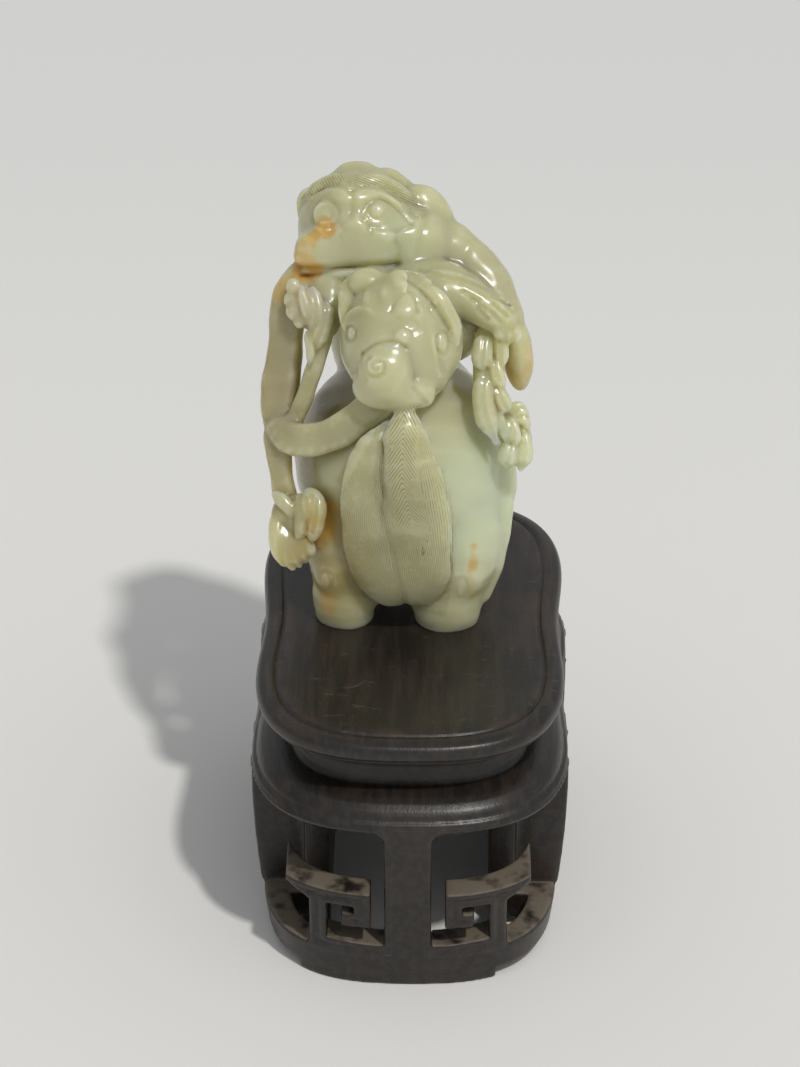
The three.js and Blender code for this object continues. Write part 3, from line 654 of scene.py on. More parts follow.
# %% Spray on the right
join_all(jade, 0.6, [
    strand(seen_all((14.7, 56.0, 20.6), (14.7, 50.8, 20.2), (14.7, 44.5, 19.6), (15.9, 38.8, 18.2),
                    (18.0, 35.5, 17)), [2.6, 3.1, 3.0, 3.0, 2.6], flat=0.6),
    strand(seen_all((17.4, 40.7, 17.6), (19.4, 36.9, 16.4), (20.4, 33.1, 15.4), (20.0, 30.2, 14.6)),
           [2.4, 3.0, 3.0, 2.2], flat=0.75),
    strand(seen_all((15.6, 50, 18.4), (15.0, 46, 13.6), (14.0, 42, 8.0)), [1.6, 1.8, 2.0]),
    strand([[18.2, 12.4, 29], [18.4, 9.4, 24], [17.6, 6, 19]], [2, 2, 1.2]),
])
for points, near, width, thickness in (
    ([(13.6, 48.1), (13.5, 50.0), (13.5, 51.9), (13.8, 54.0)], 21.6, 2.0, 1.2),
    ([(16.9, 47.7), (17.1, 50.8), (16.7, 53.5), (16.2, 56.5)], 21.2, 1.3, 1.0),
    ([(16.2, 33.7), (14.1, 38.9), (13.5, 43.9), (14.6, 49.0)], 20.4, 2.0, 1.3),
    ([(17.3, 43.7), (16.5, 46.2), (16.0, 48.1), (15.6, 50.4)], 21.2, 1.2, 1.0),
    ([(18.9, 39.1), (17.7, 41.0), (16.8, 42.9), (16.0, 45.1)], 20.0, 1.4, 1.1),
    ([(16.8, 35.1), (16.8, 37.8), (16.4, 40.1), (15.8, 42.4)], 19.6, 1.1, 1.0),
    ([(18.3, 33.3), (17.9, 35.8), (17.3, 37.8), (16.8, 39.7)], 18.8, 1.0, 1.1),
    ([(19.6, 32.8), (19.8, 35.4), (19.1, 37.4), (18.1, 39.1)], 18.6, 1.3, 1.2),
    ([(21.0, 28.6), (21.8, 31.6), (21.6, 34.0), (20.5, 36.6)], 16.8, 1.5, 1.6),
    ([(18.3, 29.3), (18.7, 31.6), (19.1, 33.2), (19.3, 35.1)], 16.8, 1.9, 1.8),
):
    spray_leaf(jade, at_level(points, near, 0.7), width, thickness)
for points in ([(18.3, 38.9), (19.3, 40.1), (20.4, 40.7), (21.6, 40.1)],
               [(19.1, 38.0), (20.0, 39.1), (21.2, 39.5), (22.2, 38.5)],
               [(19.7, 37.0), (20.6, 38.0), (21.6, 38.0), (22.2, 36.6)]):
    jade.join(strand(at_level(points, 17.8), [0.8, 1.0, 1.0, 0.7]), 0.2)
print("right leaves, curled flower and bud joined")

# %% [markdown]
# ## Strokes on the heads
# Each eye is a raised ball inside cut rings and lids. The pup's nose is a spiral, its brow is a row of fine
# arcs, and mouths and folds are single strokes. A slow wave over the whole stone comes first: hand polishing
# never leaves a true surface.

# %% Face of the large beast
hand_polish(jade)
LEFT_EYE = seen(-17.1, 77.5, 18.2)
RIGHT_EYE = seen(-7.2, 78.0, 19.6)
ring(jade, LEFT_EYE, 1.2, 0.32, 0.2)
ring(jade, LEFT_EYE, 2.6, 0.4, 0.26)
ring(jade, RIGHT_EYE, 1.6, 0.34, 0.24)
upper_lid = laid([(-10.0, 76.6), (-9.2, 79.2), (-7.0, 80.4), (-4.6, 79.6), (-2.3, 77.5), (-0.4, 75.6)], skull)
lower_lid = laid([(-10.0, 76.4), (-8.2, 75.0), (-5.2, 74.4), (-2.3, 74.5), (-0.4, 75.6)], skull)
stroke(jade, upper_lid, 0.36, 0.28)
stroke(jade, lower_lid, 0.4, 0.26)
stroke(jade, laid([(-12.0, 81.6), (-11.8, 79.0), (-12.2, 77.0)], skull), 0.6, 0.3)
brow_line = [(-19.6, 81.4), (-16.4, 83.0), (-13.6, 82.6), (-12.3, 81.6), (-10.4, 82.6), (-6.4, 82.2),
             (-3.0, 80.2), (0.2, 77.0)]
stroke(jade, laid(brow_line, skull), 0.34, 0.3, pieces=20)
stroke(jade, seen_all((-14.3, 75.8, 20), (-13.7, 74.0, 21), (-14.0, 72.6, 21)), 0.45, 0.22)
stroke(jade, seen_all((-8.6, 75.0, 21), (-8.4, 73.4, 21), (-9.0, 72.4, 21)), 0.45, 0.22)
ring(jade, seen(-16.6, 74.4, 20.5), 0.9, 0.32, 0.2)
for points, width, depth in (
    ([(-21.7, 65.6, 17), (-17.5, 66.1, 19), (-13.0, 67.2, 20), (-7.8, 67.8, 20), (-2.8, 68.1, 18)],
     0.5, 0.55),
    ([(-3.6, 72.4, 18.5), (-2.6, 70.2, 17.5), (-3.6, 67.8, 17.5)], 0.6, 0.2),
    ([(2.4, 77.8, 14), (1.6, 74.3, 14), (0.8, 70.5, 14)], 0.8, 0.3),
):
    stroke(jade, seen_all(*points), width, depth)

# %% Nose, eyes and brows of the pup
ring(jade, seen(-11.7, 54.0, 29.4), 1.5, 0.3, 0.4, wide=0.68)
ring(jade, seen(5.8, 52.3, 30.8), 2.1, 0.3, 0.3, wide=0.55)
for step in range(3):
    size = 2.1 + 0.75 * step
    arc = [(-1.8 + size * math.cos(a), 53.2 + size * math.sin(a))
           for a in np.radians([14, 40, 70, 110, 140, 166])]
    stroke(jade, laid(arc, pup, 0.3), 0.28, 0.26 - 0.04 * step)
curl(jade, seen(-6.6, 47.4, 35), 2.2, 1.6, 0.36, 0.46, start=2.2)
for points, width, depth in (
    ([(-9.5, 50.0, 33), (-7.9, 51.3, 33), (-5.7, 52.2, 34), (-3.0, 52.4, 34), (-1.1, 51.2, 34)], 0.36, 0.42),
    ([(-9.5, 50.0, 33), (-9.6, 47.7, 33), (-8.9, 45.0, 33)], 0.5, 0.3),
    ([(-0.9, 51.1, 33), (0.0, 48.4, 33), (0.4, 45.4, 32)], 0.8, 0.25),
    ([(0.4, 43.6, 31), (1.5, 42.3, 30), (2.7, 40.8, 29)], 0.4, 0.3),
):
    stroke(jade, seen_all(*points), width, depth)
stroke(jade, laid([(-4.2, 57.9), (-2.8, 60.4), (-0.9, 62.1), (0.4, 60.4), (1.1, 58.1)], pup, 0.3), 0.3, 0.32)
stroke(jade, laid([(3.1, 58.8), (4.2, 54.6), (4.8, 50.4), (6.1, 46.6)], pup, 0.3), 0.5, 0.3)
for line in ([(-1.7, 64.5), (1.4, 62.1), (4.8, 58.1), (6.9, 54.4)],
             [(-0.2, 63.8), (2.7, 61.1), (5.7, 57.3), (7.6, 53.9)], [(4.8, 59.6), (6.3, 57.3), (7.4, 55.0)]):
    stroke(jade, laid(line, pup, 1.2), 0.28, 0.34)
print("faces cut")

# %% Claws and folds of the pup
for start, end in (((9.6, 62.2), (12.6, 60.6)), ((11.2, 60.8), (14.0, 59.0)), ((12.4, 59.2), (14.4, 57.2)),
                   ((15.2, 61.4), (18.4, 59.8)), ((15.6, 60.0), (18.0, 57.8)), ((14.8, 58.6), (17.2, 56.2))):
    stroke(jade, [seen(*start, 24.5), seen(*end, 24.5)], 0.28, 0.45, reach=5)
stroke(jade, seen_all((1.0, 66.8, 24), (5.2, 65.4, 22), (10.0, 64.5, 21), (15.2, 62.2, 20), (19.1, 58.6, 18)),
       0.4, 0.35, reach=6, pieces=20)
stroke(jade, seen_all((11.1, 73.0, 16), (9.5, 69.4, 18), (11.0, 66.2, 20)), 0.9, 0.25, reach=6)
print("pup's claws and folds cut")

# %% Rings on the hind legs
ring(jade, seen(-16.8, 6.4, 13), 2.2, 0.4, 0.22, wide=0.6)
ring(jade, seen(9.6, 5.4, 12), 2.0, 0.4, 0.2, wide=0.6)
print("hind legs cut")

# %% The jade's mesh
jade.cut_below(0)
points, faces = skin(jade)
points, faces = largest_shell(points, faces)
points[:, 2] += STAND_HEIGHT
carving = mesh_piece("jade_dog_carving", points, faces)
print("jade has", thinned(carving, MOST_TRIANGLES), "triangles")
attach(carving, "root")
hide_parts("jade_carving")

# %% [markdown]
# ## Values kept on the mesh
# Hair lines a third of a millimetre wide are finer than the mesh, so the finish draws them. It needs to
# know where each point lies across the hairs, so that number is worked out for each vertex and kept as an
# attribute. A second attribute says how hollow the surface is there, because dirt and wax stay in hollows;
# on the jade it also puts painted shade in hollows and a painted highlight on ridges.

# %% Hollows
def vertex_values(piece):
    """Places in millimetres above the shelf, and normals."""
    count = len(piece.data.vertices)
    places = np.empty(count * 3, np.float32)
    normals = np.empty(count * 3, np.float32)
    piece.data.vertices.foreach_get("co", places)
    piece.data.vertex_normals.foreach_get("vector", normals)
    return places.reshape(-1, 3) / MM, normals.reshape(-1, 3)


def keep(piece, name, values):
    attribute = piece.data.attributes.new(name, "FLOAT", "POINT")
    attribute.data.foreach_set("value", np.asarray(values, np.float32))


def keep_hollows(piece, passes, scale):
    """Keeps 0.5 on even ground, nearer 1 in hollows and nearer 0 on ridges."""
    places, normals = vertex_values(piece)
    pairs = np.empty(len(piece.data.edges) * 2, np.int32)
    piece.data.edges.foreach_get("vertices", pairs)
    pairs = np.concatenate([pairs.reshape(-1, 2), pairs.reshape(-1, 2)[:, ::-1]])
    share = np.maximum(np.bincount(pairs[:, 0], minlength=len(places)), 1)

    def around(values):
        return np.bincount(pairs[:, 0], values[pairs[:, 1]], minlength=len(places)) / share

    mean = np.stack([around(places[:, i]) for i in range(3)], axis=1)
    bend = ((mean - places) * normals).sum(axis=1)
    for _ in range(passes):
        bend = 0.5 * bend + 0.5 * around(bend)
    keep(piece, "hollow", np.clip(0.5 + bend * scale, 0, 1))
    return float(np.abs(bend).mean())


print("mean bend", round(keep_hollows(carving, passes=3, scale=9.0), 4), "mm")

# %% Hair
TAIL_HEIGHTS = [2, 6, 12, 18, 26, 34, 40, 45, 50]
TAIL_LEFT = [-3.6, -7.5, -11, -12.6, -13.2, -11.8, -8.6, -5.6, -3.6]
TAIL_SEAM = [-0.8, -1.0, -2.0, -3.2, -5.0, -7.0, -6.2, -5.0, -3.4]
TAIL_RIGHT = [4.0, 6.0, 7.0, 7.4, 6.9, 5.4, 3.8, 2.6, 1.0]
SPINE_HEIGHTS = [24, 28, 30, 33, 36, 43, 50]
SPINE = [0.4, -0.1, -0.4, -0.9, -1.7, -1.7, -1.3]


def hair_values(piece):
    """How many hairs across, and how strongly they show, for each vertex."""
    places, normals = vertex_values(piece)
    x, y, z = places[:, 0], places[:, 1], places[:, 2] - STAND_HEIGHT
    across, up, near = on_plane(x, y, z)
    left, seam, right = (np.interp(z, TAIL_HEIGHTS, row) for row in (TAIL_LEFT, TAIL_SEAM, TAIL_RIGHT))
    count = np.where(x < seam, 21 * (x - left) / (seam - left), 27 * (x - seam) / (right - seam))
    count = count + 0.5 * np.sin(z / 4.1 + x / 2.3)
    on_tail = (y < -4.6) * (normals[:, 1] < -0.2) * (x > left - 1) * (x < right + 1) * (z > 4) * (z < 50)
    strength = on_tail * 0.85
    spine = np.abs(x - np.interp(z, SPINE_HEIGHTS, SPINE))
    barbs = on_tail * (z > 24) * (1 - soft_step(spine, 2.2, 3.4)) * soft_step(z, 24, 29)
    count = np.where(barbs > 0.1, (z + 1.6 * spine) / 0.95, count)
    strength = np.where(barbs > 0.1, barbs, strength)

    def band(line, width, slant, pitch, power):
        nonlocal count, strength
        away = line_distance(across, up, np.array(line))
        here = (away < width) & (near > 4) & (y > 12)
        count = np.where(here, (across * slant[0] + up * slant[1]) / pitch, count)
        strength = np.where(here, power * (1 - soft_step(away, width * 0.75, width)), strength)

    band([(-20.6, 81), (-18.5, 83.0), (-14.6, 84.2)], 1.5, (0.86, 0.5), 0.52, 1.0)
    band([(-11.6, 83.7), (-8.5, 84.3), (-4.3, 83.2), (-1.0, 80.8), (1.1, 78.2)], 1.5, (0.35, 0.94), 0.46, 1.0)
    behind = (y > 34) & (z > 38) & (normals[:, 1] > -0.1)
    count = np.where(behind, (x + 0.9 * np.sin(z / 3.2)) / 0.8, count)
    strength = np.where(behind, 0.7, strength)
    return count, strength


count, strength = hair_values(carving)
keep(carving, "hair_count", count)
keep(carving, "hair_strength", strength)
print("vertices with hair", int((strength > 0.3).sum()))

# %% [markdown]
# ## The stand
# The stand has one plan outline, a squared oval with a slight waist, and every level follows it at its own
# inset: board, neck, domed shoulder, wall and foot. The board is a turned profile bent to that outline, a
# mesh with rounded lips and fine lines. The pierced part below is carved by distance like the jade, because
# its windows, beads and scrolls are cut by hand and have soft worn arrises.

# %% Plan outline and sizes of the stand
BOARD_LENGTH = 96.4
BOARD_WIDTH = 61.2
BOARD_WAIST = 0.055
WAIST_SPAN = 0.18
BOARD_THICKNESS = 5.0
RIM_WIDTH = 3.4
NECK_INSET = 7.0
NECK_HEIGHT = 8.0
SHOULDER_OUTSET = 0.9
SHOULDER_RISE = 4.2
SHOULDER_EDGE = 1.5
EDGE_STEP = 0.3
WALL_THICKNESS = 5.0
HOLLOW_HALF_WIDTH = 15.6
HOLLOW_STRAIGHT = 26.0
SIDE_WINDOW_DEPTH = 9.9
CEILING_THICKNESS = 4.0
BODY_SWELL = 0.4
FOOT_INSET = 2.7
WINDOW_FOOT = 7.9
STRAP_WIDTH = 9.0
SIDE_STRAP_WIDTH = 6.0
SIDE_STRAP_PLACE = 19.0
FRET_BAR = 3.3
FRET_RISE = 11.4
FRET_DEPTH = 6.0
END_FRET_DEPTH = 30
SIDE_FRET_DEPTH = 10
FRET_LINE_WIDTH = 0.42
WINDOW_CORNER = 2.6
FOOT_CORNER = 0.3
BEAD_HALF_WIDTH = 0.75
BEAD_RISE = 0.45
FOOT_ARCH_RISE = 2.2
FOOT_ARCH_FROM = 14.1
FOOT_ARCH_LEFT = -21
FOOT_ARCH_RIGHT = 17
OUTLINE_SAMPLES = 4000
BOARD_POINTS = 360
PLAN_POINTS = 240

BOARD_UNDER = STAND_HEIGHT - BOARD_THICKNESS
NECK_FOOT = BOARD_UNDER - NECK_HEIGHT
SHOULDER_EDGE_TOP = NECK_FOOT - SHOULDER_RISE
WALL_TOP = SHOULDER_EDGE_TOP - SHOULDER_EDGE
WINDOW_TOP = WALL_TOP - 0.7
CEILING = NECK_FOOT - CEILING_THICKNESS


def plan_outline(count):
    """Evenly spaced points of the outline and the outward direction at each."""
    angle = np.linspace(0, 2 * np.pi, OUTLINE_SAMPLES, endpoint=False)
    c, s = np.cos(angle), np.sin(angle)
    y = BOARD_LENGTH / 2 * np.sign(s) * np.abs(s) ** (2 / 4.2)
    waist = 1 - BOARD_WAIST * np.exp(-((y / (BOARD_LENGTH * WAIST_SPAN)) ** 2))
    x = BOARD_WIDTH / 2 * waist * np.sign(c) * np.abs(c) ** (2 / 2.6)
    dense = np.stack([x, y], axis=1)
    dense = np.vstack([dense, dense[:1]])
    run = np.concatenate([[0], np.cumsum(np.linalg.norm(np.diff(dense, axis=0), axis=1))])
    even = np.linspace(0, run[-1], count, endpoint=False)
    rim = np.stack([np.interp(even, run, dense[:, i]) for i in range(2)], axis=1)
    tangent = np.roll(rim, -1, axis=0) - np.roll(rim, 1, axis=0)
    tangent /= np.linalg.norm(tangent, axis=1)[:, None]
    return rim, np.stack([tangent[:, 1], -tangent[:, 0]], axis=1)

# %% [markdown]
# ### The board
# The top board has a flat sunk panel, a fine line round it, a rounded lip and an undercut edge. The profile
# goes from the middle of the top out over the lip and back underneath.

# %% Board
def board_profile():
    top = STAND_HEIGHT
    lip = [(RIM_WIDTH + 5.2, top), (RIM_WIDTH + 1.3, top), (RIM_WIDTH + 1.0, top - 0.05),
           (RIM_WIDTH + 0.8, top - 0.42), (RIM_WIDTH + 0.55, top - 0.5), (RIM_WIDTH + 0.3, top - 0.42),
           (RIM_WIDTH + 0.1, top - 0.2), (RIM_WIDTH - 0.4, top - 0.12), (RIM_WIDTH - 1.3, top - 0.2),
           (RIM_WIDTH - 1.9, top - 0.5)]
    nose = []
    for i in range(13):
        angle = math.radians(62 - i * 12.5)
        nose.append((1.75 - 1.66 * math.cos(angle), top - 2.35 + 1.95 * math.sin(angle)))
    under = [(1.25, BOARD_UNDER + 0.55), (1.5, BOARD_UNDER + 0.12), (1.9, BOARD_UNDER),
             (NECK_INSET + 1, BOARD_UNDER)]
    return lip + nose + under


def turned_to_plan(name, profile, count):
    rim, outward = plan_outline(count)
    rings = [np.column_stack([rim - outward * inset, np.full(count, z)]) for inset, z in profile]
    points = np.vstack(rings)
    step = np.arange(count)
    after = (step + 1) % count
    faces = [np.stack([k + after, k + step, k + count + step, k + count + after], axis=1)
             for k in range(0, (len(rings) - 1) * count, count)]
    piece = mesh_piece(name, points, np.vstack(faces))
    mesh = piece.data
    caps = [[int(v) for v in step], [int(v) + (len(rings) - 1) * count for v in step[::-1]]]
    shell = bmesh.new()
    shell.from_mesh(mesh)
    shell.verts.ensure_lookup_table()
    for cap in caps:
        face = shell.faces.new([shell.verts[v] for v in cap])
        face.smooth = False
    bmesh.ops.recalc_face_normals(shell, faces=shell.faces)
    shell.to_mesh(mesh)
    shell.free()
    return piece


board = turned_to_plan("wood_board", board_profile(), BOARD_POINTS)
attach(board, "root")
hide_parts("wood_stand")
print("board has", len(board.data.polygons), "faces")

# %% [markdown]
# ### The pierced base
# Two kinds of distance make it. One is the inset from the plan outline, found once for each place in plan;
# with the height it gives the turned profile. Windows and scrolls are flat figures pushed through the wall,
# so their distances are taken in the plane of the end or of the side. Wood left behind the side windows
# makes the hollow a straight channel from end to end.

# %% Flat figures
def figure_distance(corners, u, v):
    """Signed distance from a closed figure of straight sides: below 0 inside."""
    corners = np.array(corners, float)
    away = None
    crossings = np.zeros(np.broadcast(u, v).shape, bool)
    for a, b in zip(corners, np.roll(corners, -1, axis=0)):
        step = b - a
        t = np.clip(((u - a[0]) * step[0] + (v - a[1]) * step[1]) / (step @ step + 1e-12), 0, 1)
        new = (u - a[0] - t * step[0]) ** 2 + (v - a[1] - t * step[1]) ** 2
        away = new if away is None else np.minimum(away, new)
        if a[1] != b[1]:
            level = (v >= min(a[1], b[1])) & (v < max(a[1], b[1]))
            crossings ^= level & (u < a[0] + (v - a[1]) * step[0] / step[1])
    return np.where(crossings, -1, 1) * np.sqrt(away)


def rounded_window(u, v, half, low, high, corner):
    """A window with rounded upper corners and square feet, about u = 0."""
    middle = (low + high) / 2
    rise = np.where(v > middle, v - high + corner, low - v + FOOT_CORNER)
    round_here = np.where(v > middle, corner, FOOT_CORNER)
    side = np.abs(u) - half + round_here
    outside = np.hypot(np.maximum(side, 0), np.maximum(rise, 0))
    return outside + np.minimum(np.maximum(side, rise), 0) - round_here


def fret_figure(bar, width, rise):
    """The square scroll: a hooked bar that rises from the foot ring and turns in on itself."""
    return [(0, 0), (0, rise), (-1.4 * bar, rise + 0.6 * bar), (-1.4 * bar, rise + bar), (width, rise + bar),
            (width, 2 * bar), (width - 1.7 * bar, 2 * bar), (width - 1.7 * bar, 2.9 * bar),
            (width - bar, 2.9 * bar), (width - bar, rise), (bar, rise), (bar, 0.9 * bar),
            (width + 0.8 * bar, 0.7 * bar), (width + 0.8 * bar, 0)]

# %% Turned profile of the base
def wall_inset(z):
    share = min(1, max(0, z / WALL_TOP))
    taper = FOOT_INSET * (1 - share) ** 1.6
    return -SHOULDER_OUTSET + EDGE_STEP + taper - BODY_SWELL * math.sin(math.pi * share)


outside = [(wall_inset(z), z) for z in np.linspace(0, WALL_TOP, 9)]
shoulder = [(-SHOULDER_OUTSET + 0.25, WALL_TOP + 0.05), (-SHOULDER_OUTSET, WALL_TOP + 0.4),
            (-SHOULDER_OUTSET, SHOULDER_EDGE_TOP - 0.4), (-SHOULDER_OUTSET + 0.35, SHOULDER_EDGE_TOP + 0.1),
            (0.1, SHOULDER_EDGE_TOP + 0.3)]
DOME_ANGLES = np.radians([12, 26, 42, 58, 74, 88])
dome = [(NECK_INSET * (1 - math.cos(a)) ** 0.9, SHOULDER_EDGE_TOP + 0.3 + (SHOULDER_RISE - 0.3) * math.sin(a))
        for a in DOME_ANGLES]
neck = [(NECK_INSET + 0.7, NECK_FOOT + 1), (NECK_INSET + 1.1, NECK_FOOT + 3.4),
        (NECK_INSET + 0.5, BOARD_UNDER - 1.4),
        (NECK_INSET - 0.6, BOARD_UNDER + 0.3), (60, BOARD_UNDER + 0.3)]
hollow = [(60, CEILING), (WALL_THICKNESS + 3, CEILING)] + [
    (wall_inset(z) + WALL_THICKNESS, z) for z in (CEILING - 2.5, 24, 12, 0)]
base_profile = outside + shoulder + dome + neck + hollow

BASE_CELL = 0.45
base = Block([-33, -51.5, -1.5], [33, 51.5, BOARD_UNDER + 1.4], BASE_CELL)
x, y, z = (axis.astype(np.float32) for axis in base.axes)
inset = -figure_distance(plan_outline(PLAN_POINTS)[0], x[:, None], y[None, :])
TABLE_FROM = -5
TABLE_TO = 40
TABLE_ROWS = 300
table_insets = np.linspace(TABLE_FROM, TABLE_TO, TABLE_ROWS)
table = figure_distance(base_profile, table_insets[:, None], z[None, :])
place = (inset - TABLE_FROM) / (TABLE_TO - TABLE_FROM) * (TABLE_ROWS - 1)
place = np.clip(place, 0, TABLE_ROWS - 1.01)
floor_place = place.astype(int)
part = (place - floor_place)[:, :, None]
base.field = (table[floor_place] * (1 - part) + table[floor_place + 1] * part).astype(np.float32)
backing = np.maximum(np.maximum(HOLLOW_HALF_WIDTH - np.abs(x)[:, None], np.abs(y)[None, :] - HOLLOW_STRAIGHT),
                     WALL_THICKNESS - 1.5 - inset)
backing = np.maximum(backing[:, :, None], z[None, None, :] - CEILING - 1)
base.field = np.minimum(base.field, backing.astype(np.float32))
print("base grid", base.field.shape)

# %% Windows, beads and scrolls
X = x[:, None, None]
Y = y[None, :, None]
Z = z[None, None, :]
half_width = BOARD_WIDTH / 2
half_length = BOARD_LENGTH / 2
PAST_END = 40
PAST_SIDE = 20
NOWHERE = 9
end_middle = STRAP_WIDTH / 2 + PAST_END
end_window = rounded_window(np.abs(X) - end_middle, Z, PAST_END, WINDOW_FOOT, WINDOW_TOP, WINDOW_CORNER)
corner_from = SIDE_STRAP_PLACE + SIDE_STRAP_WIDTH / 2
corner_window = rounded_window(np.abs(Y) - corner_from - PAST_SIDE, Z, PAST_SIDE, WINDOW_FOOT, WINDOW_TOP,
                               WINDOW_CORNER)
side_half = SIDE_STRAP_PLACE - SIDE_STRAP_WIDTH / 2
window_share = np.clip((Z - WINDOW_FOOT) / (0.8 * (WINDOW_TOP - WINDOW_FOOT)), 0, 1)
cusp = 1.1 * (1 - np.cos(2 * np.pi * window_share * 2)) / 2
side_window = rounded_window(np.abs(Y), Z, side_half - 0.6 - cusp, WINDOW_FOOT, WINDOW_TOP, WINDOW_CORNER)
at_end = soft_step(np.abs(Y), half_length - 21, half_length - 20) > 0.5
at_side = np.abs(X) > half_width - SIDE_WINDOW_DEPTH
windows = np.minimum(np.where(at_end, end_window, NOWHERE),
                     np.where(at_side, np.minimum(corner_window, side_window), NOWHERE))
windows = np.maximum(windows, Z - WINDOW_TOP)
skin_near = soft_step(3 - np.abs(inset)[:, :, None], 0, 1.5)
bead = np.sqrt(np.clip(1 - ((windows - BEAD_HALF_WIDTH) / BEAD_HALF_WIDTH) ** 2, 0, 1)) * (Z > WINDOW_FOOT)
base.field = base.field - BEAD_RISE * bead * skin_near
cut = -windows
near = np.maximum(0.6 - np.abs(base.field - cut), 0) / 0.6
base.field = np.maximum(base.field, cut) + near * near * 0.15

fret_width = 3.6 * FRET_BAR
from_middle = STRAP_WIDTH / 2 + fret_width + 0.8 * FRET_BAR
end_fret = figure_distance(fret_figure(FRET_BAR, fret_width, FRET_RISE),
                           (from_middle - np.abs(x))[:, None], (z - WINDOW_FOOT + 0.4)[None, :])[:, None, :]
side_fret = figure_distance(fret_figure(FRET_BAR, fret_width * 0.8, FRET_RISE),
                            (fret_width - np.abs(y))[:, None], (z - WINDOW_FOOT + 0.4)[None, :])[None, :, :]
frets = np.minimum(np.where(np.abs(Y) > half_length - END_FRET_DEPTH, end_fret, NOWHERE),
                   np.where(np.abs(X) > half_width - SIDE_FRET_DEPTH, side_fret, NOWHERE))
wall_skin = np.array([wall_inset(v) for v in z])[None, None, :] - inset[:, :, None]
ring_wall = np.maximum(wall_skin, -wall_skin - FRET_DEPTH)
middle_line = np.exp(-((frets + 0.5 * FRET_BAR) / FRET_LINE_WIDTH) ** 2) * (wall_skin > -1.2)
frets = np.maximum(frets, ring_wall) + 0.5 * middle_line
near = np.maximum(0.5 - np.abs(base.field - frets), 0) / 0.5
base.field = np.minimum(base.field, frets) - near * near * 0.12

arch = np.maximum(Z - FOOT_ARCH_RISE, FOOT_ARCH_FROM - np.abs(Y))
arch = np.maximum(arch, np.minimum(FOOT_ARCH_RIGHT - X, X - FOOT_ARCH_LEFT))
base.field = np.maximum(base.field, -arch)
base.cut_below(0)
base.field = base.field.astype(np.float32)

points, faces = skin(base)
points, faces = largest_shell(points, faces)
stand_base = mesh_piece("wood_base", points, faces)
print("base has", thinned(stand_base, MOST_TRIANGLES), "triangles")
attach(stand_base, "root")
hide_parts("wood_stand")
for piece, passes in ((board, 0), (stand_base, 2)):
    keep_hollows(piece, passes, scale=3.0)

# %% [markdown]
# ## Finishes
# A finish is a rule for colour, gloss and tiny relief at every point. The rules are written as sums, so a
# small class lets sockets be added and multiplied like numbers.

# %% Sums on sockets
class Wire:
    """A socket that can be used in sums."""

    def __init__(self, wiring, socket):
        self.wiring = wiring
        self.socket = socket

    def _sum(self, operation, *values):
        return self.wiring.node("ShaderNodeMath", {"operation": operation}, dict(enumerate(values)))

    def __add__(self, other):
        return self._sum("ADD", self, other)

    def __sub__(self, other):
        return self._sum("SUBTRACT", self, other)

    def __rsub__(self, other):
        return self._sum("SUBTRACT", other, self)

    def __mul__(self, other):
        return self._sum("MULTIPLY", self, other)

    __radd__ = __add__
    __rmul__ = __mul__

    def step(self, low, high):
        """0 below low, 1 above high, soft between."""
        return self.wiring.node("ShaderNodeMapRange", {"interpolation_type": "SMOOTHSTEP", "clamp": True},
                                {"Value": self, "From Min": low, "From Max": high})

    def sine(self):
        return self._sum("SINE", self)

    def limited(self):
        return self.wiring.node("ShaderNodeClamp", {}, {"Value": self})


class Wiring:
    """Adds nodes to a tree and joins them."""

    def __init__(self, tree):
        self.tree = tree

    def node(self, kind, settings, values, out=0):
        node = self.tree.nodes.new(kind)
        for key, value in settings.items():
            setattr(node, key, value)
        for key, value in values.items():
            self.feed(node.inputs[key], value)
        return Wire(self, node.outputs[out])

    def feed(self, socket, value):
        if isinstance(value, Wire):
            self.tree.links.new(value.socket, socket)
        elif socket.type == "RGBA" and len(value) == 3:
            socket.default_value = (*value, 1)
        else:
            socket.default_value = value

    def blend(self, share, first, second):
        """The first colour where share is 0, the second where it is 1."""
        return self.node("ShaderNodeMix", {"data_type": "RGBA"}, {0: share, 6: first, 7: second}, 2)


class Finish(Wiring):
    """One material and its shader."""

    def __init__(self, name):
        self.material = bpy.data.materials.new(name)
        self.material.use_nodes = True
        super().__init__(self.material.node_tree)
        self.shader = self.tree.nodes["Principled BSDF"]
        self.place = self.node("ShaderNodeTexCoord", {}, {}, "Object")

    def set(self, **values):
        for key, value in values.items():
            self.feed(self.shader.inputs[key.replace("_", " ")], value)

    def noise(self, scale, detail=3.0, stretch=(1, 1, 1), roughness=0.5):
        place = self.node("ShaderNodeVectorMath", {"operation": "MULTIPLY"}, {0: self.place, 1: stretch})
        return self.node("ShaderNodeTexNoise", {}, {"Vector": place, "Scale": scale, "Detail": detail,
                                                    "Roughness": roughness})

    def kept(self, name):
        """A number kept on the mesh."""
        return self.node("ShaderNodeAttribute", {"attribute_name": name}, {}, "Fac")

    def near(self, centre, radius, ragged=None, wide=(1, 1, 1)):
        """1 at a place in millimetres above the soles, fading to 0 at the radius."""
        metres = [centre[0] * MM, centre[1] * MM, (centre[2] + STAND_HEIGHT) * MM]
        away = self.node("ShaderNodeVectorMath", {"operation": "SUBTRACT"}, {0: self.place, 1: metres})
        away = self.node("ShaderNodeVectorMath", {"operation": "DIVIDE"},
                         {0: away, 1: [w * radius * MM for w in wide]})
        reach = self.node("ShaderNodeVectorMath", {"operation": "LENGTH"}, {0: away}, "Value")
        if ragged is not None:
            reach = reach + (ragged - 0.5) * 1.1
        return 1 - reach.step(0.35, 1.0)

    def bump(self, height, strength, distance):
        return self.node("ShaderNodeBump", {}, {"Height": height, "Strength": strength, "Distance": distance})
